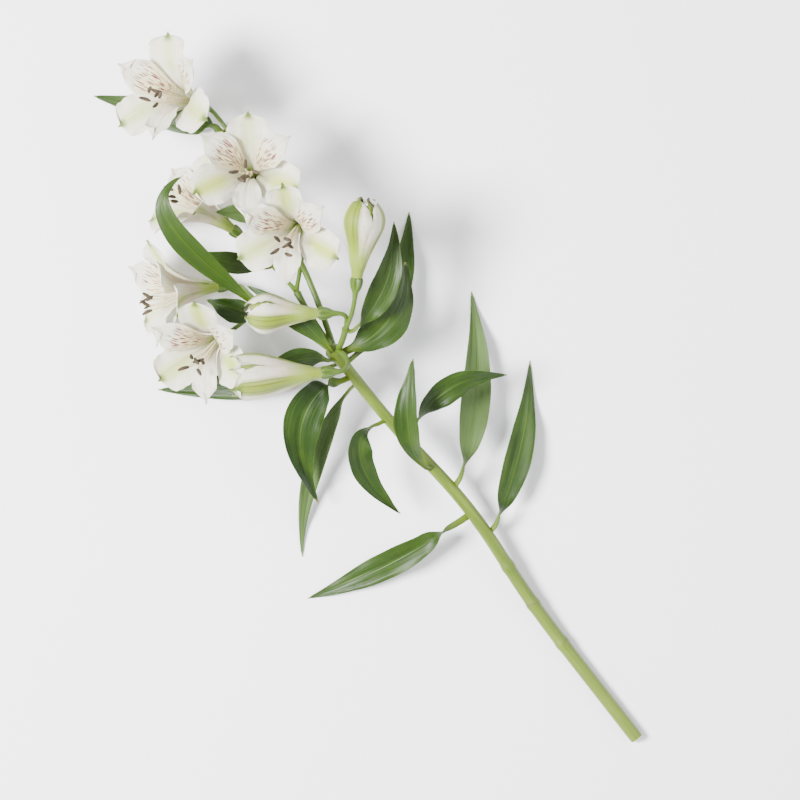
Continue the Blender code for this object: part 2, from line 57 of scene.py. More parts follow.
# Stalk and umbel
STALK_RADIUS = 3.7
NECK_RADIUS = 3.1
CUT_END = -15.0
FLAT_END = 30.0
WHORL = np.array((0.0, 256.0, 42.0))
FLAT_HEIGHT = STALK_RADIUS * math.cos(math.pi / 8)
SCAR_PLACES = (52.0, 79.0, 104.0)
SCAR_TURN = 2.4
RAY_RADIUS = 1.65
FORK_SWELL = 0.5
PEDICEL_RADIUS = 1.2
RAY_RIBS, RAY_RIB = 5, 0.04
OVARY_LENGTH = 9.0
OVARY_STATIONS = (-1.1, -0.9, -0.7, -0.4, -0.15, 0.0)
OVARY_RADII = (1.4, 1.75, 2.35, 2.95, 3.05, 2.75)
OVARY_RIBS, OVARY_RIB = 6, 0.15

# Petals
OUTER_ROOT = 2.9
INNER_ROOT = 1.95
CLAW_HEIGHT = 1.4
LEAN_STATIONS = (0.0, 0.3, 0.6, 0.8, 1.0)
WIDTH_STATIONS = (0.0, 0.2, 0.4, 0.6, 0.76, 0.9, 1.0)
OUTER_WIDTHS = (0.25, 0.32, 0.54, 0.86, 1.0, 0.86, 0.36)
INNER_WIDTHS = (0.17, 0.24, 0.42, 0.76, 1.0, 0.8, 0.2)
OPENING_WIDTHS = (0.29, 0.48, 0.75, 0.98, 1.0, 0.84, 0.3)
FOLDED_WIDTHS = (0.29, 0.48, 0.75, 0.98, 1.0, 0.74, 0.25)
ROUND_END = 0.88
OVERLAP = 0.5
TIP_CURL = 10.0
CLOSED_CALM = 0.35

# Stamens
THREAD_FOOT = 4.4
THREAD_START = 0.75
ANTHER_GROOVES, ANTHER_GROOVE = 2, 0.22

# Leaves
PETIOLE_THICKNESS = 1.6
CAD_GAP = 0.3
LEAF_FLOOR = 0.35
LEAF_STATIONS = (0.0, 0.1, 0.28, 0.5, 0.7, 0.86, 1.0)
LEAF_WIDTHS = (0.22, 0.22, 0.66, 1.0, 0.82, 0.4, 0.05)

# Kinds that the meshes' marks tell the materials: petals, then parts of a stamen, then parts of the stem
OUTER, STREAKED, PLAIN = 0.0, 1.0, 2.0
FILAMENT, ANTHER = 0.0, 1.0
STALK, RAY, OVARY = 0.0, 1.0, 2.0
SEED_STEP = 7.0

# Stage, in metres and watts
FLOOR_SIZE = 12.0
FLOOR_DROP = 0.0002
MIDDLE = (0.0, 0.22, 0.03)
SKY = (0.93, 0.93, 0.96, 1.0)
SKY_STRENGTH = 1.02
CAMERA_PLACE = (0.012, 0.213, 1.55)
CAMERA_TURN = math.radians(-38.0)
LENS = 126.0


# Shape arithmetic, on single numbers and on arrays

def unit(vector):
    vector = np.asarray(vector, float)
    return vector / np.linalg.norm(vector, axis=-1, keepdims=True)


def smooth(start, end, x):
    """0 before the start, 1 past the end, and smooth between."""
    share = np.clip((np.asarray(x, float) - start) / (end - start), 0.0, 1.0)
    return share * share * (3.0 - 2.0 * share)


def fade(start, end, x):
    """1 before the start, 0 past the end, and smooth between."""
    return 1 - smooth(start, end, x)


def hump(x, width):
    return np.exp(-((x / width) ** 2))


def times(numbers, vectors):
    """Each number times its vector."""
    return numbers[..., None] * vectors


def through(stations, values, x):
    """A smooth curve through the values at the stations."""
    stations, values, x = (np.asarray(a, float) for a in (stations, values, x))
    slopes = np.gradient(values, stations)
    i = np.clip(np.searchsorted(stations, x) - 1, 0, len(stations) - 2)
    step = stations[i + 1] - stations[i]
    u = (x - stations[i]) / step
    rise = values[i + 1] - values[i]
    bow = slopes[i] * step * u * (1 - u) ** 2 - slopes[i + 1] * step * u * u * (1 - u)
    return values[i] + rise * u * u * (3 - 2 * u) + bow


def bezier(ends, s):
    a, b, c, d = (np.asarray(p, float) for p in ends)
    s = np.asarray(s, float)[..., None]
    r = 1.0 - s
    return a * r**3 + 3 * b * r * r * s + 3 * c * r * s * s + d * s**3


def lie_on_table(points, floor):
    """Bend points that would be under the table smoothly up to the floor height."""
    softness = 0.8
    lifted = np.array(points, float)
    lifted[..., 2] = floor + softness * np.logaddexp(0.0, (lifted[..., 2] - floor) / softness)
    return lifted


def path_frames(points):
    """Side and top vectors along a path, with no twist of their own."""
    tangents = unit(np.gradient(points, axis=0))
    hint = UP if abs(tangents[0][2]) < 0.9 else np.array((0.0, 1.0, 0.0))
    side = unit(np.cross(tangents[0], hint))
    sides = []
    for tangent in tangents:
        side = unit(side - tangent * np.dot(side, tangent))
        sides.append(side)
    return np.array(sides), np.cross(tangents, sides)


def from_whorl(place):
    """A place given across and along from the whorl, and up from the table."""
    return np.array((WHORL[0] + place[0], WHORL[1] + place[1], place[2]), float)


# Meshes: a slab or a sleeve is modelled once for each size, then copied and bent into place

TEMPLATES = {}


def deselect():
    if bpy.context.object and bpy.context.object.mode != "OBJECT":
        bpy.ops.object.mode_set(mode="OBJECT")
    bpy.ops.object.select_all(action="DESELECT")


def edit_whole(*steps):
    """Run steps on the whole of the active mesh, then turn its faces outward."""
    bpy.ops.object.mode_set(mode="EDIT")
    for step in (*steps, lambda: bpy.ops.mesh.normals_make_consistent(inside=False)):
        bpy.ops.mesh.select_all(action="SELECT")
        step()
    bpy.ops.object.mode_set(mode="OBJECT")


def slab(item):
    """A flat closed slab: across is X from -1 to 1, along is Y from -1 to 1, its front is at Z 0."""
    down = {"value": (0.0, 0.0, -1.0)}
    edit_whole(lambda: bpy.ops.mesh.extrude_region_move(TRANSFORM_OT_translate=down))


def sleeve(item):
    """A closed tube of unit radius about Z, whose rings stand from Z -1 to 1."""
    flat = np.array([v.co for v in item.data.vertices])
    angle = math.pi * flat[:, 0]
    rolled = np.stack((np.cos(angle), np.sin(angle), flat[:, 1]), axis=1)
    item.data.vertices.foreach_set("co", rolled.ravel())
    edit_whole(
        lambda: bpy.ops.mesh.remove_doubles(threshold=0.0001),
        lambda: bpy.ops.mesh.fill_holes(sides=0),
    )


def template(shape, columns, rows):
    """A mesh made by slab or sleeve from a flat grid, and the place of each of its points."""
    key = (shape, columns, rows)
    if key not in TEMPLATES:
        deselect()
        bpy.ops.mesh.primitive_grid_add(x_subdivisions=columns, y_subdivisions=rows, size=2.0)
        item = bpy.context.object
        shape(item)
        mesh = item.data
        bpy.data.objects.remove(item)
        TEMPLATES[key] = mesh, np.array([v.co for v in mesh.vertices])
    return TEMPLATES[key]


def mark(item, name, *parts):
    """Store a number or a vector of three parts at each point, for the material to read."""
    mesh = item.data
    values = [np.broadcast_to(part, len(mesh.vertices)) for part in parts]
    kind, field = ("FLOAT_VECTOR", "vector") if len(parts) == 3 else ("FLOAT", "value")
    store = mesh.attributes.new(name, kind, "POINT").data
    store.foreach_set(field, np.stack(values, axis=1).astype(np.float32).ravel())


def add_copy(name, mesh, points, kind):
    """A new object with its own copy of a template's mesh, its points placed."""
    mesh = mesh.copy()
    mesh.vertices.foreach_set("co", (points * MM).astype(np.float32).ravel())
    mesh.update()
    item = bpy.data.objects.new(name, mesh)
    bpy.context.scene.collection.objects.link(item)
    mark(item, "kind", kind)
    return item


def add_blade(name, grid, thickness, share, across, along, seed, kind):
    """A thin closed blade about a grid of points. Its marks say where on the blade each point is."""
    rows, columns = grid.shape[0] - 1, grid.shape[1] - 1
    mesh, flat = template(slab, columns, rows)
    normal = unit(np.cross(np.gradient(grid, axis=1), np.gradient(grid, axis=0)))
    j = np.rint((flat[:, 0] + 1) / 2 * columns).astype(int)
    i = np.rint((flat[:, 1] + 1) / 2 * rows).astype(int)
    front = (flat[:, 2] > -0.5).astype(float)
    half = thickness[i, j][:, None] / 2
    points = grid[i, j] + normal[i, j] * half * (2 * front[:, None] - 1)
    item = add_copy(name, mesh, points, kind)
    mark(item, "blade", flat[:, 0], share[i, j], front)
    mark(item, "span", across[i, j], along[i, j], SEED_STEP * seed)
    return item


def add_sleeve(name, centres, radii, sides, kind, seed=0.0, ribs=0, rib_depth=0.0):
    """A closed tube along a path. Ribs are ridges that run along it."""
    centres = np.asarray(centres, float)
    radii = np.asarray(radii, float)
    rings = len(centres) - 1
    mesh, rolled = template(sleeve, sides, rings)
    side, top = path_frames(centres)
    i = np.rint((rolled[:, 2] + 1) / 2 * rings).astype(int)
    angle = np.arctan2(rolled[:, 1], rolled[:, 0])
    depth = np.broadcast_to(rib_depth, radii.shape)[i]
    reach = radii[i] * (1 + depth * np.cos(ribs * angle)) if ribs else radii[i]
    points = centres[i] + times(reach * np.cos(angle), side[i]) + times(reach * np.sin(angle), top[i])
    run = np.concatenate(([0.0], np.cumsum(np.linalg.norm(np.diff(centres, axis=0), axis=1))))
    item = add_copy(name, mesh, points, kind)
    mark(item, "skin", np.cos(angle), np.sin(angle), run[i] / run[-1])
    mark(item, "span", angle, run[i], SEED_STEP * seed)
    return item


def paint(items, material):
    for item in items:
        item.data.materials.append(material)
    return items


def join(name, items, node):
    """Join items into one piece that takes the place of a node of the frame."""
    deselect()
    for item in items:
        item.select_set(True)
    bpy.context.view_layer.objects.active = items[0]
    if len(items) > 1:
        bpy.ops.object.join()
    piece = bpy.context.view_layer.objects.active
    piece.name = name
    bpy.ops.object.shade_smooth_by_angle(angle=math.radians(50))
    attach(piece, "root")
    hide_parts(node)


# Shader arithmetic

def worked_out(operation):
    """A method of Wire that adds the Math node for an operation."""
    return lambda wire, *others: wire.tree.node("ShaderNodeMath", {"operation": operation}, wire, *others)[0]


class Wire:
    """A node socket that can be used in sums. A sum adds the Math nodes that work it out."""

    def __init__(self, tree, socket):
        self.tree = tree
        self.socket = socket

    __add__ = __radd__ = worked_out("ADD")
    __mul__ = __rmul__ = worked_out("MULTIPLY")
    __sub__ = worked_out("SUBTRACT")
    __abs__ = worked_out("ABSOLUTE")
    cosine = worked_out("COSINE")
    max = worked_out("MAXIMUM")
    min = worked_out("MINIMUM")

    def __rsub__(self, other):
        return self.tree.node("ShaderNodeMath", {"operation": "SUBTRACT"}, other, self)[0]

    def rise(self, low, high):
        """0 below low, 1 above high, and smooth between."""
        curve = {"interpolation_type": "SMOOTHSTEP"}
        return self.tree.node("ShaderNodeMapRange", curve, self, low, high, 0.0, 1.0)[0]

    def fall(self, low, high):
        """1 below low, 0 above high, and smooth between."""
        return 1.0 - self.rise(low, high)

    def past(self, kind):
        """0 for kinds up to this one, 1 for those after it."""
        return self.rise(kind + 0.3, kind + 0.7)


class Shader:
    """A material's node tree, written as expressions. Its coat is the colour that is laid on so far."""

    def __init__(self, name, colours):
        self.material = bpy.data.materials.new(name)
        self.material.use_nodes = True
        self.nodes = self.material.node_tree.nodes
        self.links = self.material.node_tree.links
        self.colours = colours
        self.coat = None

    def feed(self, socket, value):
        """Wire a socket up, or set it to a constant. A string is the name of one of the colours."""
        if isinstance(value, Wire):
            self.links.new(value.socket, socket)
        elif isinstance(value, str):
            socket.default_value = (*getattr(self.colours, value), 1.0)
        else:
            socket.default_value = value

    def node(self, kind, settings, *inputs, **named):
        """Add a node. Its settings come first, then its sockets in order or by name."""
        node = self.nodes.new(kind)
        for key, value in settings.items():
            setattr(node, key, value)
        for place, value in [*enumerate(inputs), *named.items()]:
            self.feed(node.inputs[place], value)
        return [Wire(self, socket) for socket in node.outputs if socket.enabled]

    def vector_mark(self, name):
        """The three parts of a vector that the mesh stores."""
        return self.split(self.node("ShaderNodeAttribute", {"attribute_name": name})[1])

    def kind_mark(self):
        return self.node("ShaderNodeAttribute", {"attribute_name": "kind"})[2]

    def split(self, vector):
        return self.node("ShaderNodeSeparateXYZ", {}, vector)

    def point(self, x, y, z):
        return self.node("ShaderNodeCombineXYZ", {}, x, y, z)[0]

    def place(self):
        """The point's place on the object, in metres."""
        return self.node("ShaderNodeTexCoord", {})[3]

    def place_in_mm(self):
        return self.node("ShaderNodeVectorMath", {"operation": "SCALE"}, self.place(), Scale=1.0 / MM)[0]

    def noise(self, vector, detail=2.0, scale=1.0):
        return self.node("ShaderNodeTexNoise", {}, Vector=vector, Scale=scale, Detail=detail)[0]

    def cells(self, vector, scale=1.0, dimensions="2D"):
        """Distance to the nearest of many scattered points, and a random number for that point."""
        kind = {"voronoi_dimensions": dimensions}
        distance, colour = self.node("ShaderNodeTexVoronoi", kind, Vector=vector, Scale=scale)[:2]
        return distance, self.node("ShaderNodeSeparateColor", {}, colour)[0]

    def mix(self, first, second, share):
        """Between two colours. A Mix node takes them at inputs 6 and 7 and gives one at output 2."""
        node = self.nodes.new("ShaderNodeMix")
        node.data_type = "RGBA"
        for place, value in ((0, share), (6, first), (7, second)):
            self.feed(node.inputs[place], value)
        return Wire(self, node.outputs[2])

    def lay(self, colour, share):
        """Lay a colour on the coat, as thickly as the share says."""
        self.coat = self.mix(self.coat, colour, share)

    def bump(self, height, distance, strength):
        return self.node("ShaderNodeBump", {}, Height=height, Distance=distance, Strength=strength)[0]

    def finish(self, roughness, normal, gloss, flesh=None):
        """Finish the surface. Flesh is the weight, radii and scale of the light that passes inside."""
        surface = self.nodes["Principled BSDF"].inputs
        self.feed(surface["Base Color"], self.coat)
        self.feed(surface["Roughness"], roughness)
        self.feed(surface["Normal"], normal)
        surface["Specular IOR Level"].default_value = gloss
        for part, value in zip(("Weight", "Radius", "Scale"), flesh or ()):
            surface["Subsurface " + part].default_value = value
        return self.material


# Petal colours. The wires called on say where on a petal a point is, and hold its noises.

def petal_wires(sh):
    t, s, front = sh.vector_mark("blade")
    across, along, seed = sh.vector_mark("span")
    kind = sh.kind_mark()
    fine = sh.noise(sh.point(t * 46.0, along * 0.12, seed))
    return SimpleNamespace(
        t=t, s=s, along=along, seed=seed, wide=abs(t), front=front, back=1.0 - front,
        outer=1.0 - kind.past(OUTER),
        streaked=kind.past(OUTER) * (1.0 - kind.past(STREAKED)),
        veins=sh.noise(sh.point(t * 15.0, along * 0.05, seed), 3.0),
        blotch=sh.noise(sh.point(across * 0.16, along * 0.12, seed)),
        fine=fine, lines=fine.rise(0.4, 0.62),
    )


def lay_petal_ground(sh, on):
    """White with faint veins, a warm tint on the back, a green keel, and the outer petals' green band."""
    shade = on.lines * 0.4 + on.blotch.rise(0.45, 0.75) * 0.35
    sh.coat = sh.mix("petal_white", "petal_shade", shade)
    blush = (on.back * 0.7 + 0.15) * on.s.fall(0.25, 0.8) * on.blotch.rise(0.3, 0.6)
    sh.lay("petal_blush", blush + on.lines * on.back * 0.25)
    chance = sh.noise(sh.point(on.seed * 1.3, 0.5, 0.5), 0.0).rise(0.35, 0.65)
    reach = on.s.rise(0.3, 0.72) * (0.45 + 0.75 * chance)
    sh.lay("petal_green", on.outer * on.wide.fall(0.0, 0.72) * reach * (0.55 + 0.65 * on.veins) * 0.95)
    keel = on.wide.fall(0.06, 0.3) * on.back * on.s.rise(0.05, 0.3)
    keel_lines = 0.55 + 0.45 * abs(on.wide - 0.13).fall(0.0, 0.05)
    sh.lay("bud_green", keel * keel_lines * (0.3 + 0.5 * on.outer))


def lay_bud_bands(sh, on, folded):
    """A green panel, rim and dark stripes on the back of a petal that is still folded."""
    panel = on.wide.fall(0.26, 0.56) * on.s.rise(0.05, 0.35)
    rim = on.wide.rise(0.8, 1.0) * on.s.rise(0.3, 0.6) * 0.25
    cover = panel.max(rim) * (0.75 + 0.5 * on.veins) * on.back
    sh.lay("petal_blush", on.lines * on.back * 0.35 * folded)
    sh.lay("bud_green", (cover * folded).min(1.0))
    stripe = abs(on.wide - 0.15).fall(0.01, 0.05).max(abs(on.wide - 0.33).fall(0.01, 0.04))
    sh.lay("bud_dark", stripe * on.back * on.s.rise(0.15, 0.5) * 0.7 * folded)


def lay_throat_and_tip(sh, on, folded):
    """A glow behind the dashes, the yellow-green throat and foot, and the thick green point."""
    sh.lay("petal_yellow", on.streaked * on.s.rise(0.25, 0.4) * on.s.fall(0.6, 0.85) * on.front * 0.55)
    throat = on.s.fall(0.06, 0.4 + 0.12 * folded) * (0.7 + 0.3 * on.lines)
    sh.lay("throat_green", throat * (0.75 + 0.25 * on.back))
    foot = on.s.fall(0.0, 0.22 + 0.3 * folded) * on.back
    sh.lay("bud_green", foot * (0.8 + 0.2 * on.lines))
    tip = on.s.rise(0.89, 0.98) * on.wide.fall(0.06, 0.42)
    sh.lay("tip_green", tip * (on.outer * 0.95 + (1.0 - on.outer) * 0.3))


def lay_dashes(sh, on):
    """Crimson dashes on the two upper petals, and brown dots nearer the throat."""
    seen = on.streaked * (0.9 * on.front + 0.12)
    wander = (on.veins - 0.5) * 1.2
    distance, luck = sh.cells(sh.point(on.t * 12.5 + wander + on.seed * 5.0, on.along * 0.165, 0.0))
    zone = on.s.rise(0.36, 0.44) * on.s.fall(0.74, 0.9) * on.wide.fall(0.6, 0.95)
    dashes = distance.fall(0.28, 0.42) * luck.rise(0.28, 0.36) * zone
    distance, luck = sh.cells(sh.point(on.t * 10.0 + on.seed * 3.0, on.along * 0.55, 0.0))
    zone = on.s.rise(0.16, 0.26) * on.s.fall(0.42, 0.54)
    dots = distance.fall(0.2, 0.36) * luck.rise(0.28, 0.35) * zone * 0.85
    sh.lay("dot_brown", dots * seen)
    sh.lay("streak_red", dashes * seen)


def petal_material(name, colours, folded=0.0):
    """White petal: green middle band and tip, yellow-green throat, and dark red dashes on the upper pair."""
    sh = Shader(name, colours)
    on = petal_wires(sh)
    lay_petal_ground(sh, on)
    if folded:
        lay_bud_bands(sh, on, folded)
    lay_throat_and_tip(sh, on, folded)
    lay_dashes(sh, on)
    relief = sh.bump(on.veins * 0.5 + on.lines * 0.3 + on.fine * 0.3, 0.0003, 0.6)
    sh.nodes["Principled BSDF"].inputs["Sheen Weight"].default_value = 0.1
    return sh.finish(0.48 + 0.15 * on.veins, relief, 0.35, (0.2, (0.9, 0.8, 0.5), 0.002))


def stamen_material(colours):
    """Pale filaments that carry dusty grey-brown anthers."""
    sh = Shader("stamen", colours)
    anther = sh.kind_mark().past(FILAMENT)
    _, _, along = sh.vector_mark("skin")
    grain = sh.noise(sh.place_in_mm(), 3.0, 2.2)
    patch = sh.noise(sh.place_in_mm(), 1.0, 0.35)
    filament = sh.mix("throat_green", "filament", along.rise(0.0, 0.35))
    filament = sh.mix(filament, "petal_blush", patch.rise(0.45, 0.7) * 0.5)
    open_share = grain.rise(0.35, 0.65) * 0.6 + patch.rise(0.4, 0.6) * 0.4
    sh.coat = sh.mix(filament, sh.mix("anther_dark", "anther_brown", open_share), anther)
    return sh.finish(0.45 + 0.4 * anther, sh.bump(grain, 0.0002, 0.6), 0.5, (0.08, (0.9, 0.8, 0.5), 0.001))


def leaf_material(colours):
    """Satin green with parallel veins: deep green on top, pale and waxy below, light at the foot."""
    sh = Shader("leaf", colours)
    t, s, front = sh.vector_mark("blade")
    across, along, seed = sh.vector_mark("span")
    back = abs(1.0 - front - sh.kind_mark())
    veins = sh.noise(sh.point(across * 2.4, along * 0.015, seed), 1.0)
    pleats = sh.noise(sh.point(t * 9.0, along * 0.01, seed), 1.0)
    mottle = sh.noise(sh.point(across * 0.12, along * 0.05, seed), 3.0)
    tone = sh.noise(sh.point(seed, seed * 0.3, seed * 0.7), 0.0)
    top = sh.mix("leaf_green", "leaf_light", mottle.rise(0.4, 0.8) * 0.4 + veins.rise(0.52, 0.7) * 0.25)
    top = sh.mix(top, "leaf_light", tone.rise(0.35, 0.7) * 0.25)
    under = sh.mix("leaf_under", "leaf_light", veins.rise(0.45, 0.7) * 0.5 + mottle.rise(0.5, 0.8) * 0.2)
    sh.coat = sh.mix(top, under, back)
    middle = abs(t).fall(0.01, 0.08)
    sh.lay("leaf_light", middle * 0.5 * s.fall(0.6, 0.95))
    sh.lay("stalk_green", s.fall(0.0, 0.24))
    sh.lay("leaf_light", abs(t).rise(0.93, 1.0) * 0.5)
    sh.lay("leaf_dry", s.rise(0.975, 1.0) * 0.7)
    relief = sh.bump(veins * 0.5 + pleats * 0.9 - middle * 0.5, 0.0004, 0.6)
    return sh.finish(0.4 + 0.12 * mottle + back * 0.16, relief, 0.3, (0.06, (0.3, 0.9, 0.2), 0.001))


def scar_share(angle, along):
    """Slanting scars where leaves came away, each further round the stalk than the last."""
    scar = 0.0
    for turn, place in enumerate(SCAR_PLACES):
        lean = (angle + SCAR_TURN * turn).cosine()
        far_off = abs(along - (place - CUT_END) - 1.4 * lean)
        scar = far_off.fall(0.25, 0.8) * lean.rise(-0.2, 0.5) + scar
    return scar


def stalk_material(colours):
    """Smooth yellow-green skin with fine lengthwise lines, darker green up the rays and ovaries, and painted
    shade in the ovaries' grooves and under the petals' claws.
    """
    sh = Shader("stalk", colours)
    kind = sh.kind_mark()
    ray, ovary = kind.past(STALK), kind.past(RAY)
    round_x, round_y, share = sh.vector_mark("skin")
    angle, along, seed = sh.vector_mark("span")
    lines = sh.noise(sh.point(round_x * 5.0, round_y * 5.0, along * 0.02 + seed))
    bands = sh.noise(sh.point(round_x * 1.3, round_y * 1.3, along * 0.035 + seed))
    sh.coat = sh.mix("stalk_green", "stalk_pale", bands.rise(0.35, 0.7) * 0.7)
    sh.lay(sh.mix("ray_green", "stalk_green", bands.rise(0.4, 0.75) * 0.6), ray)
    sh.lay("stalk_pale", (1.0 - ray) * share.fall(0.0, 0.5) * 0.4)
    sh.lay("leaf_light", lines.rise(0.5, 0.72) * 0.45)
    # Painted shade: a dark green laid in the grooves between the ovary's ribs, and in a ring at the ovary's
    # top where the petals' claws leave it
    groove_shade = (angle * 6.0).cosine().rise(0.5, -0.8)
    sh.lay("ovary_shade", ovary * groove_shade * share.rise(0.2, 0.6) * 0.55)
    sh.lay("ovary_shade", ovary * share.rise(0.86, 0.93) * 0.6)
    sh.lay("scar_brown", scar_share(angle, along) * (1.0 - ray) * 0.75)
    distance, _ = sh.cells(sh.place_in_mm(), 1.6, "3D")
    pith = sh.mix("pith", "stalk_pale", distance.fall(0.15, 0.35) * 0.7)
    _, y, _ = sh.split(sh.place())
    sh.lay(pith, y.fall((CUT_END + 0.05) * MM, (CUT_END + 0.2) * MM))
    return sh.finish(0.38 + 0.14 * bands, sh.bump(lines, 0.00022, 0.5), 0.45, (0.1, (0.7, 0.9, 0.3), 0.002))


def floor_material(colours):
    """Matt pale table top with the faintest unevenness."""
    sh = Shader("floor", colours)
    broad = sh.noise(sh.place(), scale=3.0)
    fine = sh.noise(sh.place(), scale=240.0)
    sh.coat = sh.mix("floor", "floor_shade", broad.rise(0.3, 0.7) * 0.5 + fine * 0.1)
    return sh.finish(0.75 + 0.1 * fine, sh.bump(fine, 0.00005, 0.3), 0.2)


# Stalk and umbel

@dataclass(frozen=True)
class Flower:
    name: str
    base: tuple
    axis: tuple
    form: str
    fork: str
    bow: tuple
    size: float
    seed: int


# Where the rays of the umbel fork, and a point that the ray bends through on its way there
FORKS = {
    "left": ((-15, 42, 30), (-6, 20, 40)),
    "middle": ((4, 38, 37), (1, 18, 41)),
    "far": ((22, 82, 22), (14, 36, 40)),
    "right": ((13, 5, 58), (6, 0, 50)),
    "whorl": ((0, 0, 42), None),
}
# The direction that the upper side of every flower turns to
ABOVE = (0.616, 0.788, 0.0)
FLOWERS = (
    Flower("flower_1", (-29, 68, 13), (-0.78, 0.48, 0.40), "open", "left", (-20, 56, 15), 1.0, 1),
    Flower("flower_2", (-42, 44, 22), (-0.43, 0.00, 0.90), "open", "left", (-30, 44, 14), 0.97, 2),
    Flower("flower_3", (-12, -6, 75), (-0.80, 0.55, 0.16), "opening", "whorl", (10, -8, 66), 1.0, 3),
    Flower("bud_1", (6, 20, 66), (-0.79, 0.61, 0.10), "bud", "right", (17, 10, 63), 0.92, 4),
    Flower("bud_2", (34, 22, 74), (0.68, 0.70, 0.20), "bud", "right", (20, 8, 68), 1.0, 5),
    Flower("flower_4", (28, 64, 46), (-0.28, -0.04, 0.96), "open", "middle", (20, 52, 32), 0.95, 6),
    Flower("flower_5", (24, 102, 30), (0.0, 0.10, 0.99), "open", "far", (24, 94, 17), 1.0, 7),
    Flower("flower_6", (-3, 88, 16), (-0.24, 0.88, 0.42), "open", "middle", (2, 60, 22), 0.97, 8),
    Flower("flower_7", (25, 151, 26), (-0.30, 0.42, 0.86), "open", "far", (30, 120, 14), 1.03, 9),
)


def stalk_point(y):
    """The stalk's centre: level near the cut end, then rising to the whorl."""
    y = np.asarray(y, float)
    rise = (WHORL[2] - FLAT_HEIGHT) * np.maximum(0.0, (y - FLAT_END) / (WHORL[1] - FLAT_END)) ** 1.7
    sway = 5.0 * np.sin(math.pi * smooth(FLAT_END, WHORL[1], y)) ** 2
    return np.stack((sway, y, FLAT_HEIGHT + rise), axis=-1)


def stalk_radius(y):
    """The stalk's radius, with a low ring at each scar and a swelling at the whorl."""
    y = np.asarray(y, float)
    radius = STALK_RADIUS + (NECK_RADIUS - STALK_RADIUS) * smooth(FLAT_END, WHORL[1], y)
    for place in SCAR_PLACES:
        radius = radius + 0.45 * hump(y - place, 2.2)
    return radius + 1.5 * hump(y - WHORL[1], 5.5)


def ray_path(fork, s):
    """Centre of a ray at a share of its way from the whorl to its fork."""
    place, bend = FORKS[fork]
    start = stalk_point(WHORL[1] - 2.0)
    end = from_whorl(place)
    bow = from_whorl(bend)
    return bezier((start, start + (bow - start) * 0.9, bow + (end - bow) * 0.3, end), s)


def ray_radius(s):
    return RAY_RADIUS + FORK_SWELL * smooth(0.8, 1.0, s)


def pedicel_path(flower, s):
    """Centre of a flower's own stalk at a share of its way from the fork to the ovary."""
    start = from_whorl(FORKS[flower.fork][0])
    axis = unit(flower.axis)
    end = from_whorl(flower.base) - axis * OVARY_LENGTH
    bow = from_whorl(flower.bow)
    return bezier((start, start + (bow - start) * 0.75, end - axis * 8.0, end), s)


def stalk_item():
    top = WHORL[1]
    stations = np.concatenate((
        np.linspace(CUT_END, FLAT_END, 16, endpoint=False),
        np.linspace(FLAT_END, top - 10, 150, endpoint=False),
        np.linspace(top - 10, top + 4, 22),
    ))
    radii = stalk_radius(stations) * (1 - 0.45 * smooth(top - 1, top + 4, stations) ** 2)
    radii[0] *= 0.96
    return add_sleeve("stalk", stalk_point(stations), radii, 32, STALK, 1.0)


def ray_items():
    s = np.linspace(0, 1, 40)
    radii = ray_radius(s)
    radii[-1] *= 0.5
    return [
        add_sleeve("ray", ray_path(fork, s), radii, 16, RAY, 2.0 + place, RAY_RIBS, RAY_RIB)
        for place, (fork, (_, bend)) in enumerate(FORKS.items()) if bend
    ]


def pedicel_items(flower):
    """A flower's own stalk, and the six-ribbed ovary at its end."""
    s = np.linspace(0, 1, 36)
    radii = PEDICEL_RADIUS + 0.3 * smooth(0.85, 1.0, s) + 0.3 * fade(0.0, 0.1, s)
    path = pedicel_path(flower, s)
    stalk = add_sleeve("pedicel", path, radii, 14, RAY, 9.0 + flower.seed, RAY_RIBS, RAY_RIB)
    stations = np.linspace(-1.1, 0.08, 36)
    centres = from_whorl(flower.base) + unit(flower.axis) * OVARY_LENGTH * stations[:, None]
    swell = through(OVARY_STATIONS, OVARY_RADII, np.minimum(stations, 0.0))
    swell = swell - 0.45 * smooth(-0.02, 0.08, stations) - 0.25 * hump(stations + 0.02, 0.03)
    depth = OVARY_RIB * smooth(-1.0, -0.6, stations) * fade(-0.05, 0.0, stations)
    ovary = add_sleeve("ovary", centres, swell, 36, OVARY, 20.0 + flower.seed, OVARY_RIBS, depth)
    return [stalk, ovary]


# Flowers

@dataclass(frozen=True)
class Tepal:
    """A petal: its lean from the axis and its widths at the stations, its cup, and how its end is cut."""
    azimuth: float
    length: float
    width: float
    root: float
    lean: tuple
    widths: tuple
    cup: float
    tip: float
    kind: float


def open_tepals(sizes):
    outer, inner = sizes.outer_length, sizes.inner_length
    wide, narrow = sizes.outer_width, sizes.inner_width
    top_lean, side_lean = (9, 17, 44, 62, 68), (9, 20, 51, 72, 82)
    hood_lean, low_lean = (7, 13, 38, 54, 62), (8, 15, 41, 60, 66)
    return (
        Tepal(0, outer - 1, wide - 1, OUTER_ROOT, top_lean, OUTER_WIDTHS, 0.035, -0.02, OUTER),
        Tepal(120, outer, wide, OUTER_ROOT, side_lean, OUTER_WIDTHS, 0.03, -0.02, OUTER),
        Tepal(240, outer, wide, OUTER_ROOT, side_lean, OUTER_WIDTHS, 0.03, -0.02, OUTER),
        Tepal(60, inner, narrow, INNER_ROOT, hood_lean, INNER_WIDTHS, 0.035, -0.09, STREAKED),
        Tepal(300, inner, narrow, INNER_ROOT, hood_lean, INNER_WIDTHS, 0.035, -0.09, STREAKED),
        Tepal(180, inner - 1, narrow - 2.5, INNER_ROOT, low_lean, INNER_WIDTHS, 0.05, -0.09, PLAIN),
    )


def three_alike(first, *values):
    """Three petals a third of a turn apart, the first at this azimuth."""
    return tuple(Tepal(azimuth, *values) for azimuth in (first, first + 120, first + 240))


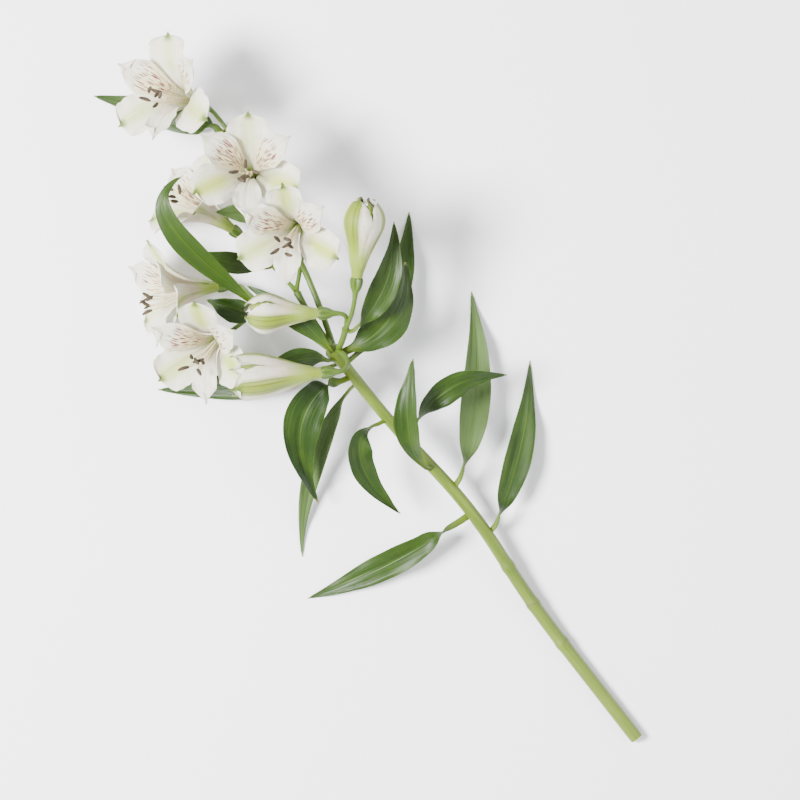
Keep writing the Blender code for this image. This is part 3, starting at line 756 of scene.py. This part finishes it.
OPENING_TEPALS = (
    three_alike(0, 46, 23.5, OUTER_ROOT, (8, 17, 17, 2, -10), OPENING_WIDTHS, 0.085, -0.05, OUTER)
    + three_alike(60, 45, 14, INNER_ROOT, (7, 14, 15, 4, -4), INNER_WIDTHS, 0.1, -0.09, PLAIN)
)
BUD_TEPALS = three_alike(0, 43, 23.5, OUTER_ROOT, (8, 17, 18, -20, -52), FOLDED_WIDTHS, 0.0, -0.03, OUTER)
TUCKED_TEPALS = three_alike(60, 42, 18, INNER_ROOT, (8, 16, 17, -21, -56), FOLDED_WIDTHS, 0.0, -0.06, PLAIN)


def flower_frame(flower):
    """Where a flower's petals start, and its side, dorsal and mouth directions."""
    axis = unit(flower.axis)
    side = unit(np.cross(ABOVE, axis))
    return from_whorl(flower.base), side, np.cross(axis, side), axis


def midline(tepal, curl=0.0):
    """Distance from the flower's axis, height above the ovary and lean, in fine steps along a petal."""
    steps = np.linspace(0, 1, 81)
    lean = np.radians(through(LEAN_STATIONS, tepal.lean, steps) + curl * smooth(0.55, 1.0, steps))
    middle = (lean[1:] + lean[:-1]) / 2
    run = tepal.length * (steps[1] - steps[0])
    reach = tepal.root + np.concatenate(([0], np.cumsum(np.sin(middle) * run)))
    height = CLAW_HEIGHT + np.concatenate(([0], np.cumsum(np.cos(middle) * run)))
    return steps, reach, height, lean


def rounded_widths(tepal, share):
    """Half width as a share of the greatest: the plain outline, closed to a round end."""
    plain = through(WIDTH_STATIONS, tepal.widths, share)
    into_end = np.clip((share - ROUND_END) / (1.0 - ROUND_END), 0, 1)
    at_start = through(WIDTH_STATIONS, tepal.widths, ROUND_END)
    round_end = at_start * np.sqrt(np.maximum(1.0 - into_end**2.7, 0.006))
    return np.where(share > ROUND_END, round_end, plain)


def tepal_shares(tepal, rows, columns):
    """Shares across and along for each point of a petal, and the second as drawn out to the end's form."""
    t = np.linspace(-1, 1, columns + 1)[None, :]
    share = (1.0 - (1.0 - np.linspace(0, 1, rows + 1)) ** 1.35)[:, None] * np.ones_like(t)
    t = t * np.ones_like(share)
    point_out = 0.032 * hump(t, 0.15) + tepal.tip * t * t
    if tepal.kind != OUTER:
        point_out = point_out + 0.02 * (1 - np.abs(t))
    return t, share, share * (1.0 + point_out * share**4)


def tepal_profile(flower, tepal, s):
    """Distance from the axis, height and lean of a petal's middle, carried on straight past its end."""
    curl = TIP_CURL * math.sin(flower.seed * 5.1 + tepal.azimuth * 0.37) if flower.form == "open" else 0.0
    steps, reach, height, lean = midline(tepal, curl)
    over = np.maximum(s - 1.0, 0.0) * tepal.length
    tilt = np.interp(s, steps, lean)
    r = np.interp(s, steps, reach) - 0.5 * fade(0.0, 0.12, s) + over * np.sin(tilt)
    h = np.interp(s, steps, height) + over * np.cos(tilt) - 1.6 * fade(0.0, 0.05, s)
    return r, h, tilt


def tepal_relief(t, s, shift, phases, closed):
    """How far a petal's waves, ruffled edge, keel and ridges stand in from its smooth cup."""
    wave = 1.5 * smooth(0.45, 0.85, s) * t * t * np.sin(9.0 * s + 2.5 * shift + 1.2 * t)
    ruffle = 0.75 * np.sin(24 * s + phases[2] + 2 * t) + 0.3 * np.sin(47 * s + phases[3])
    frill = smooth(0.45, 0.9, s) * np.abs(t) ** 3 * ruffle
    if closed:
        wave = wave * CLOSED_CALM - OVERLAP * t * smooth(0.03, 0.2, s)
        frill = frill * CLOSED_CALM
    keel = -0.5 * hump(t, 0.14) * smooth(0.1, 0.4, s) * fade(0.75, 1.0, s)
    ridges = 0.1 * np.cos(15 * t + phases[2]) * smooth(0.12, 0.4, s) * fade(0.8, 0.98, s)
    return wave + frill + keel + ridges


def tepal_thickness(tepal, thickness, t, s):
    """Thick at the claw and along the middle, thin at the rim, and thicker at an outer petal's point."""
    body = 0.45 + 0.55 * hump(t, 0.3)
    rim = 0.4 + 0.6 * fade(0.8, 1.0, np.abs(t))
    thick = thickness * body * rim * (1.0 + 0.5 * fade(0.05, 0.3, s))
    if tepal.kind == OUTER:
        thick = thick + 0.3 * smooth(0.93, 1.0, s) * hump(t, 0.3)
    return thick


def tepal_item(flower, tepal, sizes):
    """One petal: a narrow channelled claw that widens into a cupped blade with a waved, nicked edge."""
    base, side, dorsal, axis = flower_frame(flower)
    shift = math.sin(flower.seed * 7.3 + tepal.azimuth * 0.61)
    turn = math.radians(tepal.azimuth + 4.0 * shift)
    outward = math.sin(turn) * side + math.cos(turn) * dorsal
    sideways = math.cos(turn) * side - math.sin(turn) * dorsal
    rng = np.random.default_rng(100 * flower.seed + int(tepal.azimuth))
    phases = rng.uniform(0, TURN, 4)
    t, share, s = tepal_shares(tepal, sizes.petal_rows, sizes.petal_columns)
    r, h, tilt = tepal_profile(flower, tepal, s)
    nicks = 0.016 * np.sin(38 * s + phases[0]) + 0.009 * np.sin(77 * s + phases[1])
    half = tepal.width / 2 * rounded_widths(tepal, share)
    half = half * (1 + nicks * t * t * smooth(0.5, 0.75, s) * fade(0.93, 1.0, s))
    x = t * half
    bend = 1 / (r + 1.0)
    if tepal.cup:
        bend = bend + smooth(0.12, 0.55, s) * (tepal.cup - bend)
    closed = flower.form == "bud" or flower.form == "opening" and tepal.kind == OUTER
    rise = (1 - np.cos(bend * x)) / bend + tepal_relief(t, s, shift, phases, closed)
    inward = times(np.sin(tilt), axis) - times(np.cos(tilt), outward)
    grid = base + flower.size * (
        times(r, outward) + times(h, axis) + times(np.sin(bend * x) / bend, sideways) + times(rise, inward)
    )
    grid = lie_on_table(grid, sizes.petal_thickness / 2)
    thick = tepal_thickness(tepal, sizes.petal_thickness, t, s)
    return add_blade("petal", grid, thick, np.minimum(s, 1.0), x, s * tepal.length,
                     flower.seed + tepal.azimuth / 400, tepal.kind)


def tepal_items(flower, tepals, sizes):
    return [tepal_item(flower, tepal, sizes) for tepal in tepals]


def stamen_path(flower, k, stops):
    """Points on a filament from the foot, sagging to the lower side and turning up at its tip."""
    base, side, dorsal, axis = flower_frame(flower)
    reach, sag, spread = (39.0, 8.5, 3.4) if flower.form == "open" else (31.0, 2.5, 1.8)
    angle = TURN * (k + 0.5) / 6
    length = flower.size * (reach + 2.4 * math.sin(flower.seed * 3.1 + k * 2.3))
    spread = spread + 0.8 * math.sin(flower.seed + k * 1.9)
    s = stops[:, None]
    aside = math.cos(angle) * (THREAD_START + spread * s * s)
    over = math.sin(angle) * (THREAD_START + spread * 0.8 * s * s) - sag * (s**1.6 - 0.35 * s**5)
    up = THREAD_FOOT + (length - THREAD_FOOT) * s
    return base + side * aside + dorsal * over + axis * up


def anther_item(foot, lie, sizes, seed):
    """A long anther with a groove down each side."""
    s = np.linspace(0, 1, 17)[:, None]
    aside = unit(np.cross(lie, UP + 0.01))
    bow = 0.35 * math.sin(seed * 2.7)
    centres = foot + lie * sizes.anther_length * s + aside * bow * np.sin(math.pi * s)
    swell = sizes.anther_radius * np.maximum(np.sin(math.pi * (0.05 + 0.9 * s[:, 0])), 0.02) ** 0.4
    radii = swell * (1.0 - 0.15 * s[:, 0])
    return add_sleeve("anther", centres, radii, 16, ANTHER, seed, ANTHER_GROOVES, ANTHER_GROOVE)


def stamen_items(flower, sizes):
    """Six filaments with their anthers, and the style with its three-branched tip."""
    base, side, dorsal, axis = flower_frame(flower)
    foot = [base + axis * h for h in (0.5, 2.5, 4.0, 5.4)]
    items = [add_sleeve("foot", foot, (1.5, 1.45, 1.2, 0.9), 12, FILAMENT)]
    for k in range(6):
        path = stamen_path(flower, k, np.linspace(0, 1, 22))
        radii = np.linspace(sizes.filament_radius * 1.15, sizes.filament_radius * 0.7, len(path))
        items.append(add_sleeve("filament", path, radii, 8, FILAMENT, flower.seed + k))
        turn = flower.seed * 1.7 + k * 2.1
        lie = unit(math.cos(turn) * side + math.sin(turn) * 0.6 * dorsal + 0.8 * axis)
        items.append(anther_item(path[-1], lie, sizes, flower.seed + k))
    style = [base + axis * h - dorsal * 0.0045 * h * h for h in np.linspace(4.0, 30.0, 16) * flower.size]
    items.append(add_sleeve("style", style, np.linspace(0.5, 0.3, 16), 8, FILAMENT, flower.seed))
    for k in range(3):
        angle = TURN * k / 3 + flower.seed
        out = math.cos(angle) * side + math.sin(angle) * dorsal
        s = np.linspace(0, 1, 8)[:, None]
        branch = style[-1] + out * 2.0 * s * s + axis * 2.6 * s
        items.append(add_sleeve("stigma", branch, np.linspace(0.3, 0.16, 8), 6, FILAMENT, flower.seed))
    return items


def bud_core_item(flower):
    """The crumpled middle of a bud, inside its inner petals."""
    steps, reach, height, _ = midline(BUD_TEPALS[0])
    s = np.linspace(0.0, 0.84, 40)
    radii = flower.size * (np.interp(s, steps, reach) - 1.9) * (1 - 0.5 * smooth(0.78, 0.84, s))
    path = from_whorl(flower.base) + times(flower.size * np.interp(s, steps, height), unit(flower.axis))
    item = add_sleeve("core", path, np.maximum(radii, 0.8), 48, PLAIN, flower.seed, 9, 0.05)
    mark(item, "blade", 0.6, 0.62, 0.0)
    return item


def mouth_items(flower, sizes):
    """The tips of a few anthers that show in the mouth of a bud."""
    base, side, dorsal, axis = flower_frame(flower)
    _, _, height, _ = midline(BUD_TEPALS[0])
    mouth = base + axis * (flower.size * height[-1] - 5.4)
    items = []
    for k in range(4):
        turn = flower.seed + k * 1.6
        out = math.cos(turn) * side + math.sin(turn) * dorsal
        items.append(anther_item(mouth + out * 2.0, unit(axis + 0.12 * out), sizes, flower.seed + k))
    return items


# Leaves

@dataclass(frozen=True)
class Leaf:
    """A leaf on the stalk, a ray or a flower's own stalk, that bends through two points to its tip."""
    place: float
    away: tuple
    bend: tuple
    sweep: tuple
    tip: tuple
    width: float
    face: float
    fold: float
    seed: int
    carrier: str = "stalk"
    pale_up: bool = False


# The leaves of each group are numbered from 1
LEAVES = {
    "stem_leaf": (
        Leaf(-130, (0.9, 0, -0.1), (22, -122, 20), (54, -106, 6), (82, -70, -2), 15, -8, 0.3, 1),
        Leaf(-116, (-0.9, 0, -0.1), (-26, -114, 24), (-60, -110, 8), (-96, -98, -2), 16, 12, 0.3, 2),
        Leaf(-98, (0.9, 0, 0.1), (26, -88, 30), (56, -62, 10), (80, -20, -2), 17, -12, 0.3, 3, pale_up=True),
        Leaf(-82, (-0.3, 0, 0.95), (-6, -66, 46), (14, -46, 60), (31, -30, 54), 14, 20, 0.4, 4),
        Leaf(-60, (0.9, 0, 0.4), (24, -52, 44), (44, -50, 48), (66, -68, 32), 15, -24, 0.3, 5),
        Leaf(-46, (-0.9, 0, 0.4), (-20, -38, 44), (-34, -58, 38), (-26, -92, 24), 15, 24, 0.3, 20),
    ),
    "whorl_leaf": (
        Leaf(-16, (-1.0, 0, 0.1), (-16, -8, 46), (-50, -12, 38), (-58, -60, 12), 21, 14, 0.2, 6),
        Leaf(-22, (-0.8, 0, -0.6), (-20, -24, 22), (-60, -44, 10), (-84, -78, -1), 11, 10, 0.3, 7,
             pale_up=True),
        Leaf(-7, (-0.9, 0, -0.4), (-20, 2, 30), (-54, 14, 12), (-90, 44, 0), 18, 8, 0.25, 8),
        Leaf(-3, (-0.7, 0, 0.7), (-10, 6, 54), (-22, 10, 58), (-40, 14, 50), 13, 10, 0.3, 9),
        Leaf(1, (-0.2, 0, 0.98), (0, 14, 55), (-6, 34, 55), (-15, 56, 47), 12, 12, 0.3, 10),
        Leaf(-4, (0.9, 0, 0.35), (18, -8, 44), (44, -10, 54), (60, 14, 34), 23, -18, 0.15, 11),
        Leaf(-10, (0.9, 0, -0.4), (22, -10, 28), (54, 4, 11), (80, 36, -2), 17, -8, 0.3, 12),
    ),
    "bract": (
        Leaf(0.94, (-0.6, -0.3, 0.7), (-20, 62, 54), (-43, 127, 84), (-6, 121, 70), 13, 14, 0.25, 13,
             "left"),
        Leaf(0.4, (-0.8, 0, 0.6), (-8, 64, 36), (-18, 74, 42), (-28, 90, 38), 12, -14, 0.3, 14, "flower_6"),
        Leaf(0.12, (-0.1, -0.7, 0.7), (-22, 42, 38), (-30, 54, 44), (-37, 64, 35), 14, 24, 0.6, 15,
             "flower_2"),
        Leaf(0.5, (-0.8, 0.2, 0.4), (20, 119, 18), (15, 122, 18), (10, 118, 14), 5, 0, 0.3, 16,
             "flower_7", True),
        Leaf(0.62, (-0.7, 0, -0.6), (22, 140, 7), (6, 166, 1), (-18, 194, -1), 17, 10, 0.25, 17, "flower_7"),
        Leaf(0.9, (0.9, -0.5, 0.2), (28, 2, 60), (50, 8, 58), (68, 34, 57), 15, -10, 0.3, 18, "right"),
        Leaf(0.9, (-0.8, 0, 0.6), (14, 86, 32), (5, 92, 38), (-4, 98, 40), 11, 12, 0.3, 19, "far", True),
    ),
}


def carrier_at(leaf, nudge=0.0):
    """Centre and radius of what carries a leaf, at its place."""
    if leaf.carrier == "stalk":
        y = WHORL[1] + leaf.place + 100 * nudge
        return stalk_point(y), stalk_radius(y)
    if leaf.carrier in FORKS:
        return ray_path(leaf.carrier, leaf.place + nudge), ray_radius(leaf.place + nudge)
    flower = next(flower for flower in FLOWERS if flower.name == leaf.carrier)
    return pedicel_path(flower, leaf.place + nudge), PEDICEL_RADIUS


def leaf_root(leaf):
    """Where a leaf leaves its carrier, and the direction straight out from it."""
    centre, radius = carrier_at(leaf)
    along = unit(carrier_at(leaf, 0.02)[0] - carrier_at(leaf, -0.02)[0])
    away = np.array(leaf.away, float)
    out = unit(away - along * np.dot(away, along))
    return centre + out * (radius + CAD_GAP + PETIOLE_THICKNESS / 2 + 0.15), out


def leaf_sides(leaf, tangent, out, s):
    """Side and top directions along a leaf, whose base turns it half round to face as it should."""
    flat_side = unit(np.cross(tangent, UP))
    flat_top = np.cross(flat_side, tangent)
    start_roll = math.atan2(np.dot(out, -flat_side[0]), np.dot(out, flat_top[0]))
    twist = math.radians(leaf.face) - start_roll
    while twist < math.radians(80):
        twist += TURN
    while twist > math.radians(280):
        twist -= TURN
    roll = (start_roll + twist * smooth(0.02, 0.34, s))[:, None]
    side = np.cos(roll) * flat_side + np.sin(roll) * flat_top
    top = np.cos(roll) * flat_top - np.sin(roll) * flat_side
    return side[:, None, :], top[:, None, :]


def leaf_relief(leaf, t, s, half):
    """How far a leaf's fold, waves, rippled edge, pleats and channelled base stand up."""
    phases = np.random.default_rng(leaf.seed).uniform(0, TURN, 2)
    fold = leaf.fold * smooth(0.15, 0.4, s) * half * (np.sqrt(t * t + 0.04) - 0.2)
    wave = 0.09 * leaf.width * t * np.sin(8.0 * s + leaf.seed * 2.1 + t)
    wave = wave * smooth(0.3, 0.6, s) * fade(0.85, 1.0, s)
    ripple = 0.022 * leaf.width * t**4 * np.sin(31 * s + phases[0] + 2 * np.sign(t)) * smooth(0.25, 0.5, s)
    pleat = 0.01 * leaf.width * np.cos(9.0 * t + phases[1]) * smooth(0.3, 0.5, s) * fade(0.8, 1.0, s)
    channel = 0.9 * fade(0.1, 0.3, s) * t * t
    return fold + wave + ripple + pleat + channel


def leaf_thickness(thickness, t, s):
    """Thick at the stalk-like base and along the rib, thin at the edges."""
    body = thickness + (PETIOLE_THICKNESS * 0.8 - thickness) * fade(0.06, 0.24, s)
    rib = 0.35 * hump(t, 0.1) * fade(0.7, 1.0, s)
    return (body + rib) * (0.45 + 0.55 * fade(0.82, 1.0, np.abs(t)))


def leaf_item(leaf, sizes):
    """One leaf: a stalk-like base turned half round, then a pleated blade with a drawn-out tip."""
    root, out = leaf_root(leaf)
    ends = (root, from_whorl(leaf.bend), from_whorl(leaf.sweep), from_whorl(leaf.tip))
    s = np.linspace(0, 1, sizes.leaf_rows + 1)
    spine = bezier(ends, s)
    tangent = unit(bezier(ends, np.minimum(1.0, s + 0.01)) - bezier(ends, np.maximum(0.0, s - 0.01)))
    side, top = leaf_sides(leaf, tangent, out, s)
    half = (leaf.width / 2 * through(LEAF_STATIONS, LEAF_WIDTHS, s))[:, None]
    half = half * (1 - 0.6 * smooth(0.97, 1.0, s)[:, None])
    t = np.linspace(-1, 1, sizes.leaf_columns + 1)[None, :]
    s = s[:, None] * np.ones_like(t)
    tuck = -(CAD_GAP + PETIOLE_THICKNESS / 2 + 0.4) * fade(0.0, 0.05, s)
    grid = spine[:, None, :] + times(t * half, side)
    grid = grid + times(leaf_relief(leaf, t, s, half), top) + times(tuck, out)
    thick = leaf_thickness(sizes.leaf_thickness, t, s)
    length = np.linalg.norm(np.diff(spine, axis=0), axis=1).sum()
    return add_blade("leaf", lie_on_table(grid, LEAF_FLOOR), thick, s, t * half, s * length,
                     leaf.seed, float(leaf.pale_up))


# Add-on

def mm(name, description, millimetres):
    return FloatProperty(name=name, description=description, subtype="DISTANCE", unit="LENGTH",
                         min=0.1 * MM, default=millimetres * MM)


def count(name, description, default, least):
    return IntProperty(name=name, description=description, default=default, min=least)


def tint(name, description, default):
    return FloatVectorProperty(name=name, description=description, subtype="COLOR", size=3,
                               min=0.0, max=1.0, default=default)


class StemSizes(bpy.types.PropertyGroup):
    """Sizes that a user would change."""
    outer_length: mm("Outer petal length", "Claw to tip", 47.0)
    outer_width: mm("Outer petal width", "At the widest place", 24.0)
    inner_length: mm("Inner petal length", "Claw to tip", 49.0)
    inner_width: mm("Inner petal width", "At the widest place", 18.5)
    petal_thickness: mm("Petal thickness", "At the middle", 0.6)
    leaf_thickness: mm("Leaf thickness", "Beside the rib", 0.45)
    filament_radius: mm("Filament radius", "At the foot", 0.5)
    anther_length: mm("Anther length", "End to end", 6.4)
    anther_radius: mm("Anther radius", "At the middle", 0.88)
    petal_rows: count("Petal rows", "Faces along a petal", 44, 8)
    petal_columns: count("Petal columns", "Faces across a petal", 24, 4)
    leaf_rows: count("Leaf rows", "Faces along a leaf", 72, 8)
    leaf_columns: count("Leaf columns", "Faces across a leaf", 20, 4)


class StemColours(bpy.types.PropertyGroup):
    """Colours of the stem and the stage."""
    petal_white: tint("Petal white", "Open petals", (0.67, 0.65, 0.56))
    petal_shade: tint("Petal shade", "Veins and hollows of the petals", (0.50, 0.485, 0.31))
    petal_blush: tint("Petal blush", "Warm tint on the petals' backs", (0.58, 0.44, 0.33))
    petal_green: tint("Petal band", "Middle band of the outer petals", (0.40, 0.47, 0.08))
    petal_yellow: tint("Petal glow", "Glow behind the dashes", (0.68, 0.56, 0.26))
    throat_green: tint("Throat", "Yellow-green at the petals' feet", (0.30, 0.46, 0.015))
    tip_green: tint("Petal tip", "Thick green point of the outer petals", (0.075, 0.13, 0.006))
    bud_green: tint("Bud green", "Bands on buds and petal backs", (0.165, 0.225, 0.004))
    bud_dark: tint("Bud stripes", "Dark lines in the buds' bands", (0.085, 0.11, 0.003))
    streak_red: tint("Dashes", "Crimson dashes on the upper petals", (0.11, 0.002, 0.012))
    dot_brown: tint("Dots", "Brown-pink dots near the throat", (0.17, 0.026, 0.016))
    filament: tint("Filament", "Pale threads", (0.80, 0.72, 0.52))
    anther_brown: tint("Anther brown", "Open anthers", (0.08, 0.052, 0.024))
    anther_dark: tint("Anther grey", "Unopened anthers", (0.014, 0.012, 0.009))
    leaf_green: tint("Leaf green", "Upper face", (0.010, 0.030, 0.001))
    leaf_light: tint("Leaf veins", "Veins, edges and young leaves", (0.045, 0.092, 0.003))
    leaf_under: tint("Leaf underside", "Waxy lower face", (0.066, 0.112, 0.030))
    leaf_dry: tint("Leaf tip", "Drying tip", (0.30, 0.26, 0.10))
    stalk_green: tint("Stalk green", "Skin of the stalk", (0.078, 0.125, 0.004))
    stalk_pale: tint("Stalk pale", "Paler lower stalk", (0.135, 0.19, 0.011))
    ray_green: tint("Ray green", "Rays and ovaries", (0.058, 0.115, 0.003))
    # Painted shade for the ovaries: their grooves, and the ring under the petals' claws
    ovary_shade: tint("Ovary ring", "Ring where the petals leave the ovary", (0.02, 0.05, 0.003))
    scar_brown: tint("Scar", "Where a leaf came away from the stalk", (0.085, 0.065, 0.02))
    pith: tint("Pith", "Cut face of the stalk", (0.66, 0.70, 0.46))
    floor: tint("Floor", "Table top", (0.96, 0.95, 0.985))
    floor_shade: tint("Floor shade", "Faint unevenness", (0.92, 0.91, 0.95))


def settings():
    """The sizes, with lengths in millimetres, and the colours as plain tuples ready for sockets."""
    scene = bpy.context.scene
    sizes = {}
    for key in StemSizes.__annotations__:
        value = getattr(scene.alstroemeria_sizes, key)
        sizes[key] = value if isinstance(value, int) else round(value / MM, 4)
    colours = {key: tuple(getattr(scene.alstroemeria_colours, key)) for key in StemColours.__annotations__}
    return SimpleNamespace(**sizes), SimpleNamespace(**colours)


class ALSTROEMERIA_OT_stalk(bpy.types.Operator):
    """Make the stalk with the rays of its umbel, the flowers' own stalks and the ribbed ovaries"""
    bl_idname = "alstroemeria.stalk"
    bl_label = "Stalk and umbel"

    def execute(self, context):
        _, colours = settings()
        items = [stalk_item()] + ray_items()
        for flower in FLOWERS:
            items += pedicel_items(flower)
        join("stalk_and_umbel", paint(items, stalk_material(colours)), "stem")
        return {"FINISHED"}


class ALSTROEMERIA_OT_petals(bpy.types.Operator):
    """Make the petals of each open and half-open flower"""
    bl_idname = "alstroemeria.petals"
    bl_label = "Petals"

    def execute(self, context):
        sizes, colours = settings()
        looks = {
            "open": (open_tepals(sizes), petal_material("petal", colours)),
            "opening": (OPENING_TEPALS, petal_material("petal_opening", colours, folded=0.9)),
        }
        for flower in FLOWERS:
            if flower.form in looks:
                tepals, material = looks[flower.form]
                items = paint(tepal_items(flower, tepals, sizes), material)
                join(flower.name + "_petals", items, flower.name + "_tepals")
        return {"FINISHED"}


class ALSTROEMERIA_OT_stamens(bpy.types.Operator):
    """Make the stamens and the style of each open and half-open flower"""
    bl_idname = "alstroemeria.stamens"
    bl_label = "Stamens"

    def execute(self, context):
        sizes, colours = settings()
        material = stamen_material(colours)
        for flower in FLOWERS:
            if flower.form != "bud":
                items = paint(stamen_items(flower, sizes), material)
                join(flower.name + "_threads", items, flower.name + "_stamens")
        return {"FINISHED"}


class ALSTROEMERIA_OT_buds(bpy.types.Operator):
    """Make the closed buds, their outer petals wrapped round the inner ones"""
    bl_idname = "alstroemeria.buds"
    bl_label = "Buds"

    def execute(self, context):
        sizes, colours = settings()
        petal = petal_material("bud", colours, folded=1.0)
        anther = stamen_material(colours)
        for flower in FLOWERS:
            if flower.form == "bud":
                items = [bud_core_item(flower)] + tepal_items(flower, BUD_TEPALS + TUCKED_TEPALS, sizes)
                items = paint(items, petal) + paint(mouth_items(flower, sizes), anther)
                join(flower.name + "_closed", items, flower.name)
        return {"FINISHED"}


class ALSTROEMERIA_OT_leaves(bpy.types.Operator):
    """Make every leaf and bract"""
    bl_idname = "alstroemeria.leaves"
    bl_label = "Leaves"

    def execute(self, context):
        sizes, colours = settings()
        material = leaf_material(colours)
        for group, leaves in LEAVES.items():
            for number, leaf in enumerate(leaves, 1):
                name = f"{group}_{number}"
                join(name + "_blade", paint([leaf_item(leaf, sizes)], material), name)
        return {"FINISHED"}


def add_area_light(name, place, size, power):
    """A round soft light that points at the middle of the stem."""
    bpy.ops.object.light_add(type="AREA", location=place)
    light = bpy.context.object
    light.name = name
    light.data.shape = "DISK"
    light.data.size = size
    light.data.energy = power
    light.rotation_euler = (Vector(MIDDLE) - Vector(place)).to_track_quat("-Z", "Y").to_euler()


class ALSTROEMERIA_OT_stage(bpy.types.Operator):
    """Add the table top, the soft lights and the camera that looks down on the stem"""
    bl_idname = "alstroemeria.stage"
    bl_label = "Stage"

    def execute(self, context):
        _, colours = settings()
        deselect()
        bpy.ops.mesh.primitive_plane_add(size=FLOOR_SIZE, location=(0.0, 0.2, -FLOOR_DROP))
        floor = bpy.context.object
        floor.name = "table_top"
        bpy.ops.object.transform_apply(location=True, rotation=False, scale=False)
        floor.data.materials.append(floor_material(colours))
        add_area_light("window", (-0.9, 0.9, 1.5), 0.7, 150.0)
        add_area_light("fill", (1.1, -0.3, 1.2), 1.4, 16.0)
        world = bpy.data.worlds.new("studio")
        bpy.context.scene.world = world
        world.use_nodes = True
        sky = world.node_tree.nodes["Background"].inputs
        sky["Color"].default_value = SKY
        sky["Strength"].default_value = SKY_STRENGTH
        bpy.ops.object.camera_add(location=CAMERA_PLACE, rotation=(0.0, 0.0, CAMERA_TURN))
        camera = bpy.context.object
        camera.name = "camera_above"
        camera.data.lens = LENS
        bpy.context.scene.camera = camera
        return {"FINISHED"}


OPERATORS = (
    ALSTROEMERIA_OT_stalk, ALSTROEMERIA_OT_petals, ALSTROEMERIA_OT_stamens,
    ALSTROEMERIA_OT_buds, ALSTROEMERIA_OT_leaves, ALSTROEMERIA_OT_stage,
)


class ALSTROEMERIA_PT_panel(bpy.types.Panel):
    """Lists the steps and the values they use"""
    bl_label = "Alstroemeria stem"
    bl_idname = "ALSTROEMERIA_PT_panel"
    bl_space_type = "VIEW_3D"
    bl_region_type = "UI"
    bl_category = "Alstroemeria"

    def draw(self, context):
        for operator in OPERATORS:
            self.layout.operator(operator.bl_idname)
        for group in (context.scene.alstroemeria_sizes, context.scene.alstroemeria_colours):
            for key in type(group).__annotations__:
                self.layout.prop(group, key)


CLASSES = (StemSizes, StemColours) + OPERATORS + (ALSTROEMERIA_PT_panel,)


def register():
    for item in CLASSES:
        bpy.utils.register_class(item)
    bpy.types.Scene.alstroemeria_sizes = PointerProperty(type=StemSizes)
    bpy.types.Scene.alstroemeria_colours = PointerProperty(type=StemColours)


def unregister():
    del bpy.types.Scene.alstroemeria_colours
    del bpy.types.Scene.alstroemeria_sizes
    for item in reversed(CLASSES):
        bpy.utils.unregister_class(item)


def main():
    register()
    bpy.ops.alstroemeria.stalk()
    bpy.ops.alstroemeria.petals()
    bpy.ops.alstroemeria.stamens()
    bpy.ops.alstroemeria.buds()
    bpy.ops.alstroemeria.leaves()
    bpy.ops.alstroemeria.stage()


if __name__ == "__main__":
    main()
